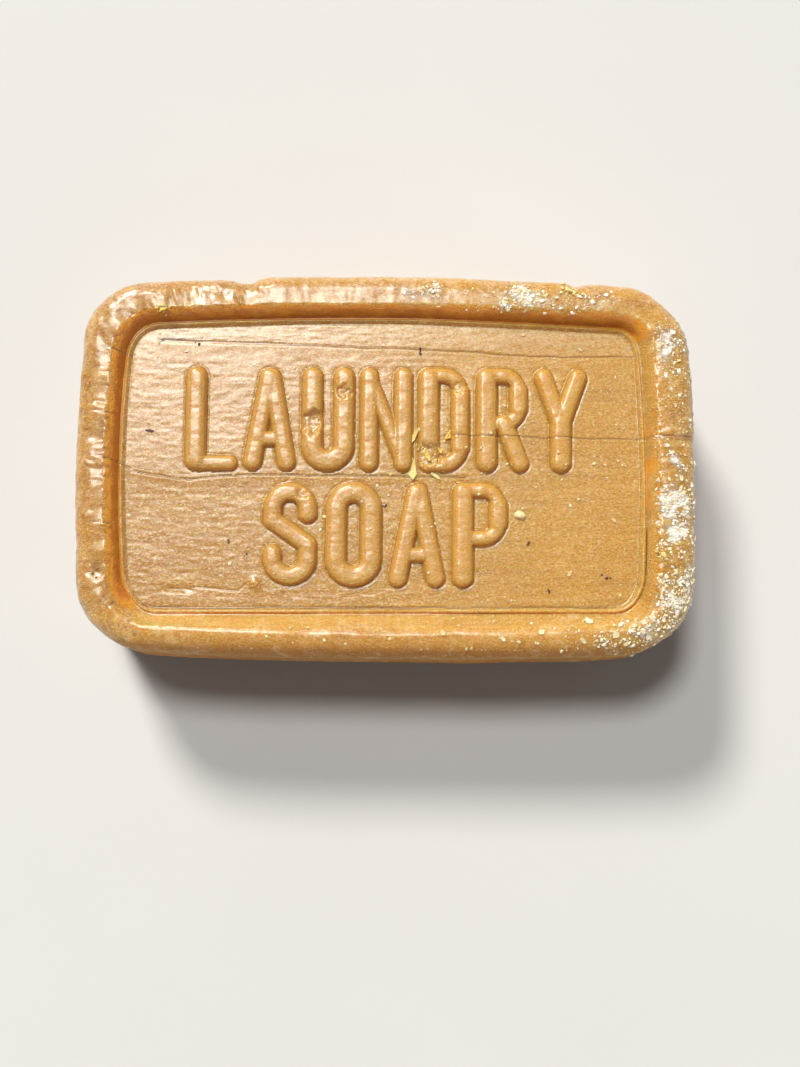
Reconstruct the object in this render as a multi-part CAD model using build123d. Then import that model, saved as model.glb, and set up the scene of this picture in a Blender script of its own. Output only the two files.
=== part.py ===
from build123d import *
import math
import os
import random

# A pressed bar of household soap, lying on its back with the lettered face up.
# Origin: centre of the footprint, on the surface that the bar lies on.
# +X runs along the bar to the right of the lettering, +Y to its top, +Z up.
# The chalky crust, flakes, slivers and grit that cling to the bar are pieces of their own.

# ---- driving dimensions, millimetres ----
BAR_LENGTH = 95.0
BAR_WIDTH = 59.0
BAR_HEIGHT = 28.0
SHORT_SIDE_BOW = 1.2
LONG_SIDE_BOW = 1.2
CORNER_RADIUS = 10.5
SEAM_PROUD = 0.15
SEAM_HEIGHT = 0.6

# rolled rim round both faces
RIM_ROLL_RADIUS = 4.2
RIM_INNER_RADIUS = 1.4

# front face: the rim's inner wall, a narrow land with a bead on it, and the panel
LAND_DEPTH = 2.5
WALL_TOP_INSET = 5.7
WALL_FOOT_INSET = 6.8
LAND_CORNER_RADIUS = 5.6
BEAD_INSET = 7.0
BEAD_CORNER_RADIUS = 5.3
BEAD_WIDTH = 0.7
BEAD_HEIGHT = 0.4
BEAD_CHAMFER = 0.2
PANEL_DEPTH = 2.8
STEP_TOP_INSET = 8.0
STEP_FOOT_INSET = 8.7
STEP_CORNER_RADIUS = 3.6

# back face: a plain shallow recess inside a flat land
BACK_DEPTH = 1.6
BACK_TOP_INSET = 8.0
BACK_FOOT_INSET = 9.0
BACK_CORNER_RADIUS = 5.0
BACK_LIP_RADIUS = 0.8

# raised lettering: two centred rows of rounded strokes, given by their half widths
LETTER_HEIGHT = 16.0
ROW_GAP = 1.6
ROW_1_BASE = -0.9
ROW_2_BASE = ROW_1_BASE - ROW_GAP - LETTER_HEIGHT
ROW_1_LETTER_WIDTH = 8.0
ROW_1_LETTER_GAP = 0.85
ROW_2_LETTER_WIDTH = 8.5
ROW_2_LETTER_GAP = 1.1
WIDE = 1.6
WIDE_RISE = 1.2
LEG = 1.4
NARROW = 1.15
NARROW_RISE = 1.0
DIAGONAL = 1.1
BOWL_RADIUS = 2.3
D_TURN_RADIUS = 2.6

# loose bits that cling to the bar
CRUST_SEED = 11
CRUST_GRAINS_RIGHT = 18
CRUST_GRAINS_CORNER = 12
CRUST_GRAIN_SMALL = 0.45
CRUST_GRAIN_LARGE = 1.0
FLAKE_THICKNESS = 0.35
SLIVER_THICKNESS = 0.4
GRIT_SIZE = 0.6

LAND_Z = BAR_HEIGHT - LAND_DEPTH
PANEL_Z = BAR_HEIGHT - PANEL_DEPTH


# ---- outlines ----
def bar_outline(inset, corner_radius):
    """The bar's bowed, round-cornered outline, moved inwards by inset."""
    half_x = BAR_LENGTH / 2 - inset
    half_y = BAR_WIDTH / 2 - inset
    corner_x = half_x - SHORT_SIDE_BOW
    corner_y = half_y - LONG_SIDE_BOW
    corners = [(corner_x, -corner_y), (corner_x, corner_y), (-corner_x, corner_y), (-corner_x, -corner_y)]
    middles = [(half_x, 0), (0, half_y), (-half_x, 0), (0, -half_y)]
    sides = [ThreePointArc(corners[i], middles[i], corners[(i + 1) % 4]) for i in range(4)]
    face = make_face(Curve() + sides)
    return fillet(face.vertices(), corner_radius)


def tapered_block(low_z, low_inset, high_z, high_inset, low_corner_radius):
    """A block between two outlines, whose corners stay concentric as its walls lean."""
    low = Pos(0, 0, low_z) * bar_outline(low_inset, low_corner_radius)
    high = Pos(0, 0, high_z) * bar_outline(high_inset, low_corner_radius + low_inset - high_inset)
    return loft([low, high], ruled=True)


def level_edges(shape, z, inset=0):
    """The edges that lie level at height z, and inside the outline moved inwards by inset."""
    found = []
    for edge in shape.edges():
        box = edge.bounding_box()
        level = abs(box.min.Z - z) < 1e-4 and abs(box.max.Z - z) < 1e-4
        reach_x = max(abs(box.min.X), abs(box.max.X))
        reach_y = max(abs(box.min.Y), abs(box.max.Y))
        if level and reach_x < BAR_LENGTH / 2 - inset + 0.01 and reach_y < BAR_WIDTH / 2 - inset + 0.01:
            found.append(edge)
    return found


# ---- the bar ----
def pressed_block():
    """The outer block, with a rolled edge round both faces and the die seam at mid-height."""
    block = extrude(bar_outline(SEAM_PROUD, CORNER_RADIUS - SEAM_PROUD), BAR_HEIGHT)
    block = fillet(level_edges(block, 0) + level_edges(block, BAR_HEIGHT), RIM_ROLL_RADIUS)
    seam = extrude(bar_outline(0, CORNER_RADIUS), SEAM_HEIGHT)
    seam = chamfer(level_edges(seam, 0) + level_edges(seam, SEAM_HEIGHT), SEAM_PROUD * 0.9)
    return block + Pos(0, 0, (BAR_HEIGHT - SEAM_HEIGHT) / 2) * seam


def sink_front(block):
    """Cut the rim's inner wall, then the panel one step lower, and add the bead."""
    block -= tapered_block(LAND_Z, WALL_FOOT_INSET, BAR_HEIGHT, WALL_TOP_INSET, LAND_CORNER_RADIUS)
    block = fillet(level_edges(block, BAR_HEIGHT, WALL_TOP_INSET), RIM_INNER_RADIUS)
    block -= tapered_block(PANEL_Z, STEP_FOOT_INSET, LAND_Z, STEP_TOP_INSET, STEP_CORNER_RADIUS)
    outer = bar_outline(BEAD_INSET, BEAD_CORNER_RADIUS)
    inner = bar_outline(BEAD_INSET + BEAD_WIDTH, BEAD_CORNER_RADIUS - BEAD_WIDTH)
    bead = extrude(outer - inner, BEAD_HEIGHT)
    bead = chamfer(level_edges(bead, BEAD_HEIGHT), BEAD_CHAMFER)
    return block + Pos(0, 0, LAND_Z) * bead


def sink_back(block):
    """Cut the shallow recess of the back, and leave a flat land round it to rest on."""
    block -= tapered_block(0, BACK_TOP_INSET, BACK_DEPTH, BACK_FOOT_INSET, BACK_CORNER_RADIUS)
    return fillet(level_edges(block, 0, BACK_TOP_INSET), BACK_LIP_RADIUS)


# ---- lettering ----
# A line is (x0, y0, x1, y1, half width). An arc is (centre x, centre y, radius,
# start degrees, turned degrees, half width). Letters fill a box that is w wide and h high.
def letter_l(w, h):
    return [(WIDE, WIDE, WIDE, h - WIDE, WIDE), (WIDE, NARROW, w - NARROW, NARROW, NARROW)]


def letter_a(w, h):
    apex_y = h - WIDE
    bar_y = 0.31 * h
    return [(LEG, LEG, w / 2 - 0.25, apex_y, LEG), (w - LEG, LEG, w / 2 + 0.25, apex_y, LEG),
            (w / 2 - 1.3, bar_y, w / 2 + 1.3, bar_y, NARROW)]


def letter_u(w, h):
    turn = w / 2 - WIDE
    return [(WIDE, h - WIDE, WIDE, WIDE + turn, WIDE), (w - WIDE, h - WIDE, w - WIDE, WIDE + turn, WIDE),
            (w / 2, WIDE + turn, turn, 180, 180, WIDE)]


def letter_n(w, h):
    return [(LEG, LEG, LEG, h - LEG, LEG), (w - LEG, LEG, w - LEG, h - LEG, LEG),
            (LEG, h - LEG, w - LEG, LEG, DIAGONAL)]


def bowl(w, low_y, high_y, turn):
    """Two cross bars joined on the right by a round-cornered stem."""
    turn_x = w - WIDE - turn
    return [(WIDE, high_y, turn_x, high_y, NARROW), (WIDE, low_y, turn_x, low_y, NARROW),
            (turn_x, high_y - turn, turn, 0, 90, NARROW), (turn_x, low_y + turn, turn, 270, 90, NARROW),
            (w - WIDE, low_y + turn, w - WIDE, high_y - turn, LEG)]


def letter_d(w, h):
    return [(WIDE, WIDE, WIDE, h - WIDE, WIDE)] + bowl(w, NARROW, h - NARROW, D_TURN_RADIUS)


def letter_p(w, h):
    return [(WIDE, WIDE, WIDE, h - WIDE, WIDE)] + bowl(w, 0.47 * h, h - NARROW, BOWL_RADIUS)


def letter_r(w, h):
    return letter_p(w, h) + [(w / 2 + 0.2, 0.47 * h, w - LEG, LEG, LEG)]


def letter_y(w, h):
    fork_y = 0.46 * h
    return [(LEG, h - LEG, w / 2, fork_y, LEG), (w - LEG, h - LEG, w / 2, fork_y, LEG),
            (w / 2, fork_y, w / 2, WIDE, WIDE)]


def letter_s(w, h):
    turn = w / 2 - WIDE
    low_y = WIDE + turn
    high_y = h - WIDE - turn
    return [(w / 2, high_y, turn, 0, 180, LEG), (w - WIDE, high_y, w - WIDE, 0.69 * h, LEG),
            (WIDE, high_y, WIDE, 0.63 * h, LEG), (WIDE, 0.63 * h, w - WIDE, 0.40 * h, LEG),
            (w - WIDE, 0.40 * h, w - WIDE, low_y, LEG), (w / 2, low_y, turn, 180, 180, LEG),
            (WIDE, low_y, WIDE, 0.31 * h, LEG)]


def letter_o(w, h):
    turn = w / 2 - WIDE
    low_y = WIDE + turn
    high_y = h - WIDE - turn
    return [(WIDE, low_y, WIDE, high_y, WIDE), (w - WIDE, low_y, w - WIDE, high_y, WIDE),
            (w / 2, low_y, turn, 180, 180, WIDE), (w / 2, high_y, turn, 0, 180, WIDE)]


ROW_1 = [letter_l, letter_a, letter_u, letter_n, letter_d, letter_r, letter_y]
ROW_2 = [letter_s, letter_o, letter_a, letter_p]


def capsule(x0, y0, x1, y1, z, radius):
    """A round-ended rod between two points at height z."""
    length = math.hypot(x1 - x0, y1 - y0)
    heading = math.degrees(math.atan2(y1 - y0, x1 - x0))
    half = math.sqrt(0.5) * radius
    profile = make_face(Curve() + [
        Line((-radius, 0), (length + radius, 0)),
        ThreePointArc((length + radius, 0), (length + half, half), (length, radius)),
        Line((length, radius), (0, radius)),
        ThreePointArc((0, radius), (-half, half), (-radius, 0)),
    ])
    return Pos(x0, y0, z) * Rot(0, 0, heading) * revolve(profile, Axis.X, 360)


def stroke_solid(stroke):
    """A half-sunk round stroke that is twice its half width across at the panel."""
    half = stroke[-1]
    rise = NARROW_RISE + (WIDE_RISE - NARROW_RISE) * (half - NARROW) / (WIDE - NARROW)
    radius = (half * half + rise * rise) / (2 * rise)
    z = PANEL_Z + rise - radius
    if len(stroke) == 5:
        return capsule(*stroke[:4], z, radius)
    centre_x, centre_y, turn_radius, start, turned = stroke[:5]
    return Pos(centre_x, centre_y, z) * Rot(0, 0, start) * Torus(
        turn_radius, radius, major_angle=turned, align=None)


def add_row(bar, letters, base, width, gap):
    """Join one centred row of letters to the bar."""
    left = -(len(letters) * width + (len(letters) - 1) * gap) / 2
    for i, letter in enumerate(letters):
        strokes = [stroke_solid(stroke) for stroke in letter(width, LETTER_HEIGHT)]
        shape = strokes[0]
        for stroke in strokes[1:]:
            shape += stroke
        bar += Pos(left + i * (width + gap), base, 0) * shape
    return bar


# ---- bits that cling to the surface ----
def surface_at(bar, x, y):
    """The point of the bar's upper surface over x, y, and the surface's outward normal."""
    hits = bar.find_intersection_points(Axis((x, y, BAR_HEIGHT + 10), (0, 0, -1)))
    return max(hits, key=lambda hit: hit[0].Z)


def seat(bar, bits):
    """Lay each (shape, x, y, sink) on the surface, and cut away what would be inside the bar."""
    laid = []
    for shape, x, y, sink in bits:
        point, normal = surface_at(bar, x, y)
        laid.append(Plane(origin=point - normal * sink, z_dir=normal) * shape)
    return [solid for shape in laid for solid in (shape - bar).solids()]


def write(node, solids):
    shape = Compound(children=list(solids)) if len(solids) > 1 else solids[0]
    shape.label = node
    export_step(shape, f"parts/{node}.step")
    print(node, len(solids), round(sum(s.volume for s in solids), 2), shape.bounding_box())


def flake(length, width, turn):
    """A thin four-sided plate with unequal sides, turned in its own plane."""
    outline = Polygon((-length / 2, -width / 2), (length / 2, -width / 3), (length / 3, width / 2),
                      (-length / 2.4, width / 2.6), align=None)
    return Rot(0, 0, turn) * extrude(outline, FLAKE_THICKNESS)


def sliver(length, width, turn):
    """A thin shaving that tapers to a point."""
    outline = Polygon((-length / 2, -width / 2), (length / 2, 0), (-length / 2.5, width / 2), align=None)
    return Rot(0, 0, turn) * extrude(outline, SLIVER_THICKNESS)


def crumb(size):
    """A small lump with its edges worn off."""
    lump = Box(size, size * 0.8, size * 0.7)
    return chamfer(lump.edges(), size * 0.14)


def crust_grains(bar, rng, count, place):
    """Round grains, clear of each other, at the points that place draws."""
    bits = []
    spots = []
    while len(bits) < count:
        x, y = place(rng)
        radius = rng.uniform(CRUST_GRAIN_SMALL, CRUST_GRAIN_LARGE)
        if all(math.hypot(x - sx, y - sy) > radius + sr + 0.2 for sx, sy, sr in spots):
            spots.append((x, y, radius))
            bits.append((Sphere(radius), x, y, radius * 0.35))
    return seat(bar, bits)


def right_rim_spot(rng):
    return BAR_LENGTH / 2 - rng.uniform(2.5, 6.0), rng.uniform(-15.0, 18.0)


def lower_corner_spot(rng):
    angle = math.radians(rng.uniform(-80, -5))
    reach = CORNER_RADIUS - rng.uniform(2.5, 5.5)
    centre_x = BAR_LENGTH / 2 - SHORT_SIDE_BOW - CORNER_RADIUS
    centre_y = -(BAR_WIDTH / 2 - LONG_SIDE_BOW - CORNER_RADIUS)
    return centre_x + reach * math.cos(angle), centre_y + reach * math.sin(angle)


def main():
    os.makedirs("parts", exist_ok=True)
    bar = sink_back(sink_front(pressed_block()))
    bar = add_row(bar, ROW_1, ROW_1_BASE, ROW_1_LETTER_WIDTH, ROW_1_LETTER_GAP)
    bar = add_row(bar, ROW_2, ROW_2_BASE, ROW_2_LETTER_WIDTH, ROW_2_LETTER_GAP)
    write("soap_bar", bar.solids())

    rng = random.Random(CRUST_SEED)
    write("crust_right_rim", crust_grains(bar, rng, CRUST_GRAINS_RIGHT, right_rim_spot))
    write("crust_lower_corner", crust_grains(bar, rng, CRUST_GRAINS_CORNER, lower_corner_spot))
    write("crust_top_rim", seat(bar, [
        (flake(2.6, 1.8, 20), 7.4, 26.2, 0.1), (flake(1.4, 1.0, 80), 9.6, 25.3, 0.1),
        (flake(3.0, 1.7, -15), 20.9, 25.6, 0.1), (flake(1.2, 1.0, 40), 23.2, 26.1, 0.1),
    ]))
    write("crumb_top_rim", seat(bar, [(crumb(1.5), 25.6, 25.8, 0.2)]))
    write("crumb_upper_left", seat(bar, [(crumb(1.3), -34.1, 23.5, 0.2)]))
    write("crumb_right_rim", seat(bar, [(crumb(1.4), 41.2, -17.6, 0.2)]))
    write("flakes_lower_rim", seat(bar, [
        (flake(2.4, 1.1, 35), 34.4, -25.4, 0.1), (flake(1.8, 1.2, -20), 29.6, -26.4, 0.1),
        (flake(1.6, 0.9, 10), 8.7, -25.4, 0.1), (flake(1.5, 1.0, 60), 17.6, -26.2, 0.1),
        (flake(1.9, 1.1, -40), 23.4, -25.2, 0.1), (flake(1.5, 1.2, 15), 30.6, -23.4, 0.1),
    ]))
    write("flakes_panel", seat(bar, [
        (flake(1.4, 1.0, 30), 27.9, -16.2, 0.05), (flake(1.2, 0.8, 75), 34.6, -8.0, 0.05),
        (flake(1.2, 0.9, -30), 29.6, 18.2, 0.05), (flake(1.3, 0.8, 10), -23.4, -15.0, 0.05),
        (flake(1.5, 0.9, 50), -30.6, 17.6, 0.05),
    ]))
    write("slivers_by_lettering", seat(bar, [
        (sliver(3.4, 0.8, 78), 4.4, 4.6, 0.05), (sliver(2.4, 1.2, 40), 9.1, 5.0, 0.05),
        (sliver(2.6, 1.3, 110), 4.5, -1.7, 0.05), (sliver(2.2, 0.7, -25), 8.0, -1.7, 0.05),
    ]))
    write("nodule_panel", seat(bar, [(Sphere(0.8), 20.4, -7.4, 0.15)]))
    write("grit_specks", seat(bar, [
        (crumb(GRIT_SIZE), x, y, GRIT_SIZE * 0.15)
        for x, y in [(-43.6, -16.9), (-36.0, 5.2), (-29.0, 18.4), (-24.0, -11.5), (-20.6, -13.7),
                     (0.0, -6.3), (5.2, 17.6), (21.4, -11.7), (24.6, -18.9), (33.6, -16.8)]
    ]))


main()
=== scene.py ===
import math
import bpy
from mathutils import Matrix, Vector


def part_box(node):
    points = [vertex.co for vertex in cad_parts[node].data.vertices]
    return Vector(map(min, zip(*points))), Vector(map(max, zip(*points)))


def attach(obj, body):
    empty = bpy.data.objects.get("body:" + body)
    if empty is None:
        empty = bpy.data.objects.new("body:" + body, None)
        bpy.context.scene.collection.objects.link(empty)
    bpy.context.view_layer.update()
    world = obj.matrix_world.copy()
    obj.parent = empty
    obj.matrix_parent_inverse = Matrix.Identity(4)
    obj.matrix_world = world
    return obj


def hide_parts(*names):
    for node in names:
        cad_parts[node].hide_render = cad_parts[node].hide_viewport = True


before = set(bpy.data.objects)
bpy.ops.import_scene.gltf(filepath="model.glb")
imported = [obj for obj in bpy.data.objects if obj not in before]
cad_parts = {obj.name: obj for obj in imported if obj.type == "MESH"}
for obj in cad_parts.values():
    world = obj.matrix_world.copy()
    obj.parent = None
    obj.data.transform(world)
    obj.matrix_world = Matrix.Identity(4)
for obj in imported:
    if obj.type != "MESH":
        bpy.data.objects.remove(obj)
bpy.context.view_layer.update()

from types import SimpleNamespace

import bmesh
import bpy
import numpy as np
from mathutils import Vector
from mathutils.bvhtree import BVHTree

# A used bar of household soap, lying on its back. Lengths are in millimetres in the
# shape code, and become metres when a mesh is made. +Z is up, out of the lettered face.
MM = 0.001

# ---- sizes, from the frame and from the bar's own dimensions ----
bar_low, bar_high = (np.array(corner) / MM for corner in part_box("soap_bar"))
LENGTH, WIDTH, HEIGHT = bar_high - bar_low
SIDE_BOW = 1.2
CORNER_RADIUS = 10.5
LAND_DEPTH = 2.5
PANEL_DEPTH = 2.8
PANEL_Z = HEIGHT - PANEL_DEPTH
ROLL_WIDTH = 4.8
ROLL_DEPTH = 5.2
ROLL_POWER = 3.2
WALL_TOP = 3.9
SIDE_BULGE = 0.25
WALL_FOOT = 6.85
BEAD_AT = 7.35
BEAD_HEIGHT = 0.38
BEAD_SPREAD = 0.2
GROOVE_AT = 6.85
GROOVE_DEPTH = 0.16
GROOVE_SPREAD = 0.2
STEP_AT = 7.6
STEP_WIDTH = 0.3
PANEL_INSET = 9.2
BACK_ROLL = 4.35
BACK_LIP = 7.2
BACK_FOOT = 9.0
BACK_DEPTH = 1.6
SEAM_PROUD = 0.15
SEAM_SPREAD = 0.3

# mesh spacing
PANEL_SPACING = 0.2
RIM_SPACING = 0.15
SIDE_SPACING = 0.8
CORNER_STEPS = 36
ROLL_STEPS = 20

# lettering, as in the pressed block: centred rows of strokes given by their half widths
LETTER_HEIGHT = 16.0
ROW_1_BASE = -0.9
ROW_2_BASE = -18.5
WIDE = 1.6
WIDE_RISE = 1.2
LEG = 1.4
NARROW = 1.15
NARROW_RISE = 1.0
DIAGONAL = 1.1
BOWL_RADIUS = 2.3
D_TURN_RADIUS = 2.6
ROUND_LETTER = 1.5


# ---- repeatable noise ----
def lattice_value(ix, iy, iz, seed):
    """A repeatable value from -1 to 1 for each lattice corner."""
    mixed = (ix * 374761393 + iy * 668265263 + iz * 1274126177 + seed * 974711) & 0xFFFFFFFF
    mixed = ((mixed ^ (mixed >> 13)) * 1103515245) & 0xFFFFFFFF
    mixed = (mixed ^ (mixed >> 16)) & 0xFFFFFF
    return mixed / 0x7FFFFF - 1.0


def noise(points, size, seed, octaves=1):
    """Smooth noise of about -1 to 1, whose largest lumps are size across (one size, or one per axis)."""
    total = np.zeros(len(points))
    weight = 1.0
    norm = 0.0
    for octave in range(octaves):
        scaled = points / np.asarray(size) * 2 ** octave
        corner = np.floor(scaled).astype(np.int64)
        part = scaled - corner
        part = part * part * part * (part * (part * 6 - 15) + 10)
        value = np.zeros(len(points))
        for dx in (0, 1):
            for dy in (0, 1):
                for dz in (0, 1):
                    share = np.abs((1 - dx - part[:, 0]) * (1 - dy - part[:, 1]) * (1 - dz - part[:, 2]))
                    x, y, z = corner[:, 0] + dx, corner[:, 1] + dy, corner[:, 2] + dz
                    value += share * lattice_value(x, y, z, seed + octave)
        total += weight * value
        norm += weight
        weight *= 0.5
    return total / norm


def ramp(value, low, high):
    """A smooth rise from 0 at low to 1 at high."""
    t = np.clip((value - low) / (high - low), 0, 1)
    return t * t * (3 - 2 * t)


def hump(value, width):
    """A bell curve round zero."""
    return np.exp(-(value / width) ** 2)


def patch(x, y, centre_x, centre_y, across, along):
    """A soft oval spot: 1 in its middle, and nothing well outside it."""
    return np.exp(-((x - centre_x) / across) ** 2 - ((y - centre_y) / along) ** 2)


def smooth_max(a, b, blend):
    h = np.clip(0.5 + 0.5 * (a - b) / blend, 0, 1)
    return b + (a - b) * h + blend * h * (1 - h)


# ---- lettering ----
# A line is (x0, y0, x1, y1, half width). An arc is (centre x, centre y, radius,
# start degrees, turned degrees, half width). Letters fill a box that is w wide and h high.
def letter_l(w, h):
    return [(WIDE, WIDE, WIDE, h - WIDE, WIDE), (WIDE, NARROW, w - NARROW, NARROW, NARROW)]


def letter_a(w, h):
    apex_y = h - WIDE
    bar_y = 0.31 * h
    return [(LEG, LEG, w / 2 - 0.25, apex_y, LEG), (w - LEG, LEG, w / 2 + 0.25, apex_y, LEG),
            (w / 2 - 1.3, bar_y, w / 2 + 1.3, bar_y, NARROW)]


def letter_u(w, h):
    turn = w / 2 - WIDE
    return [(WIDE, h - WIDE, WIDE, WIDE + turn, WIDE), (w - WIDE, h - WIDE, w - WIDE, WIDE + turn, WIDE),
            (w / 2, WIDE + turn, turn, 180, 180, WIDE)]


def letter_n(w, h):
    return [(LEG, LEG, LEG, h - LEG, LEG), (w - LEG, LEG, w - LEG, h - LEG, LEG),
            (LEG, h - LEG, w - LEG, LEG, DIAGONAL)]


def bowl(w, low_y, high_y, turn):
    """Two cross bars joined on the right by a round-cornered stem."""
    turn_x = w - WIDE - turn
    return [(WIDE, high_y, turn_x, high_y, NARROW), (WIDE, low_y, turn_x, low_y, NARROW),
            (turn_x, high_y - turn, turn, 0, 90, NARROW), (turn_x, low_y + turn, turn, 270, 90, NARROW),
            (w - WIDE, low_y + turn, w - WIDE, high_y - turn, LEG)]


def letter_d(w, h):
    return [(WIDE, WIDE, WIDE, h - WIDE, WIDE)] + bowl(w, NARROW, h - NARROW, D_TURN_RADIUS)


def letter_p(w, h):
    return [(WIDE, WIDE, WIDE, h - WIDE, WIDE)] + bowl(w, 0.47 * h, h - NARROW, BOWL_RADIUS)


def letter_r(w, h):
    return letter_p(w, h) + [(w / 2 + 0.2, 0.47 * h, w - LEG, LEG, LEG)]


def letter_y(w, h):
    fork_y = 0.46 * h
    return [(LEG, h - LEG, w / 2, fork_y, LEG), (w - LEG, h - LEG, w / 2, fork_y, LEG),
            (w / 2, fork_y, w / 2, WIDE, WIDE)]


def letter_s(w, h):
    turn = w / 2 - WIDE
    low_y = WIDE + turn
    high_y = h - WIDE - turn
    return [(w / 2, high_y, turn, 0, 180, LEG), (w - WIDE, high_y, w - WIDE, 0.69 * h, LEG),
            (WIDE, high_y, WIDE, 0.63 * h, LEG), (WIDE, 0.63 * h, w - WIDE, 0.40 * h, LEG),
            (w - WIDE, 0.40 * h, w - WIDE, low_y, LEG), (w / 2, low_y, turn, 180, 180, LEG),
            (WIDE, low_y, WIDE, 0.31 * h, LEG)]


def letter_o(w, h):
    turn = w / 2 - WIDE
    low_y = WIDE + turn
    high_y = h - WIDE - turn
    return [(WIDE, low_y, WIDE, high_y, WIDE), (w - WIDE, low_y, w - WIDE, high_y, WIDE),
            (w / 2, low_y, turn, 180, 180, WIDE), (w / 2, high_y, turn, 0, 180, WIDE)]


# letters, base line, letter width and gap of each row
ROWS = [([letter_l, letter_a, letter_u, letter_n, letter_d, letter_r, letter_y], ROW_1_BASE, 8.0, 0.85),
        ([letter_s, letter_o, letter_a, letter_p], ROW_2_BASE, 8.5, 1.1)]


def distance_to_stroke(x, y, stroke):
    """How far each point is from the stroke's centre line."""
    if len(stroke) == 5:
        x0, y0, x1, y1 = stroke[:4]
        run_x, run_y = x1 - x0, y1 - y0
        t = np.clip(((x - x0) * run_x + (y - y0) * run_y) / (run_x ** 2 + run_y ** 2), 0, 1)
        return np.hypot(x - x0 - t * run_x, y - y0 - t * run_y)
    centre_x, centre_y, radius, start, turned = stroke[:5]
    angle = np.degrees(np.arctan2(y - centre_y, x - centre_x)) - start
    on_arc = np.mod(angle, 360) <= turned
    ends = [math.radians(start), math.radians(start + turned)]
    to_ends = [np.hypot(x - centre_x - radius * math.cos(end), y - centre_y - radius * math.sin(end))
               for end in ends]
    return np.where(on_arc, np.abs(np.hypot(x - centre_x, y - centre_y) - radius), np.minimum(*to_ends))


def lettering(x, y):
    """Height of the letters over the panel, and the distance from their nearest edge (negative inside)."""
    height = np.zeros(len(x))
    edge = np.full(len(x), 99.0)
    for letters, base, w, gap in ROWS:
        left = -(len(letters) * w + (len(letters) - 1) * gap) / 2
        for i, letter in enumerate(letters):
            dx = left + i * (w + gap)
            off_x, off_y = np.abs(x - dx - w / 2), np.abs(y - base - LETTER_HEIGHT / 2)
            near = np.nonzero((off_x < w / 2 + ROUND_LETTER) & (off_y < LETTER_HEIGHT / 2 + ROUND_LETTER))[0]
            px, py = x[near] - dx, y[near] - base
            raised = np.zeros(len(near))
            outside = np.full(len(near), 99.0)
            for stroke in letter(w, LETTER_HEIGHT):
                half = stroke[-1]
                rise = NARROW_RISE + (WIDE_RISE - NARROW_RISE) * (half - NARROW) / (WIDE - NARROW)
                away = distance_to_stroke(px, py, stroke)
                pillow = rise * np.clip(1 - (away / half) ** 4.5, 0, 1) ** 0.6
                raised = smooth_max(raised, pillow, 0.12)
                outside = np.minimum(outside, away - half)
            height[near] = np.maximum(height[near], raised * ramp(-outside, -0.05, 0.1))
            edge[near] = np.minimum(edge[near], outside)
    return height, edge


# ---- outline and rim profile ----
def corner_radius_at(inset):
    return np.interp(inset, [0, 6.8, 8.7, PANEL_INSET], [CORNER_RADIUS, 5.6, 3.8, 3.4])


def outline(inset, radius, steps_x, steps_y, steps_corner):
    """Closed loop of points, anticlockwise from the middle of the lower left corner: bowed sides and
    round corners, with the same number of points on every loop."""
    half_x, half_y = LENGTH / 2 - inset, WIDTH / 2 - inset
    end_x, end_y = half_x - SIDE_BOW, half_y - SIDE_BOW
    centre_x, centre_y = half_x - radius, half_y - radius
    for _ in range(4):
        centre_x, centre_y = (half_x - radius - SIDE_BOW * (centre_y / end_y) ** 2,
                              half_y - radius - SIDE_BOW * (centre_x / end_x) ** 2)
    low_angle = math.atan(2 * SIDE_BOW * centre_y / end_y ** 2)
    high_angle = math.pi / 2 - math.atan(2 * SIDE_BOW * centre_x / end_x ** 2)
    angles = np.linspace(low_angle, high_angle, steps_corner + 1)
    corner = np.column_stack([centre_x + radius * np.cos(angles), centre_y + radius * np.sin(angles)])
    half = steps_corner // 2

    top_x = np.linspace(1, -1, steps_x + 1) * corner[-1, 0]
    top_y = corner[-1, 1] + SIDE_BOW * (corner[-1, 0] ** 2 - top_x ** 2) / end_x ** 2
    top = np.column_stack([top_x, top_y])
    right_y = np.linspace(-1, 1, steps_y + 1) * corner[0, 1]
    right_x = corner[0, 0] + SIDE_BOW * (corner[0, 1] ** 2 - right_y ** 2) / end_y ** 2
    right = np.column_stack([right_x, right_y])

    quarter_a = np.concatenate([corner[half:-1], top[:-1], (corner * [-1, 1])[::-1][:half]])
    quarter_b = np.concatenate([(corner * [-1, 1])[::-1][half:-1], -right[:-1], (-corner)[:half]])
    return np.concatenate([-quarter_a, -quarter_b, quarter_a, quarter_b])


def front_profile():
    """(inset, height) pairs from the widest point of the side up over the rim and in to the panel."""
    turn = np.linspace(0, math.pi / 2, ROLL_STEPS + 1)
    span = ROLL_WIDTH - SIDE_BULGE
    roll_inset = SIDE_BULGE + span * (1 - np.cos(turn) ** (2 / ROLL_POWER))
    roll_height = HEIGHT - ROLL_DEPTH * (1 - np.sin(turn) ** (2 / ROLL_POWER))
    inner = np.arange(ROLL_WIDTH + RIM_SPACING, PANEL_INSET + 0.01, RIM_SPACING)
    inner = np.linspace(ROLL_WIDTH, PANEL_INSET, len(inner) + 1)[1:]
    fall = np.clip((inner - ROLL_WIDTH) / (WALL_FOOT - ROLL_WIDTH), 0, 1)
    height = HEIGHT - LAND_DEPTH * (1 - (1 - fall ** 2.3) ** 0.75)
    height -= GROOVE_DEPTH * hump(inner - GROOVE_AT, GROOVE_SPREAD)
    height += BEAD_HEIGHT * hump(inner - BEAD_AT, BEAD_SPREAD)
    height -= (PANEL_DEPTH - LAND_DEPTH) * ramp(inner, STEP_AT, STEP_AT + STEP_WIDTH)
    return np.concatenate([np.column_stack([roll_inset, roll_height]), np.column_stack([inner, height])])


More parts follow.
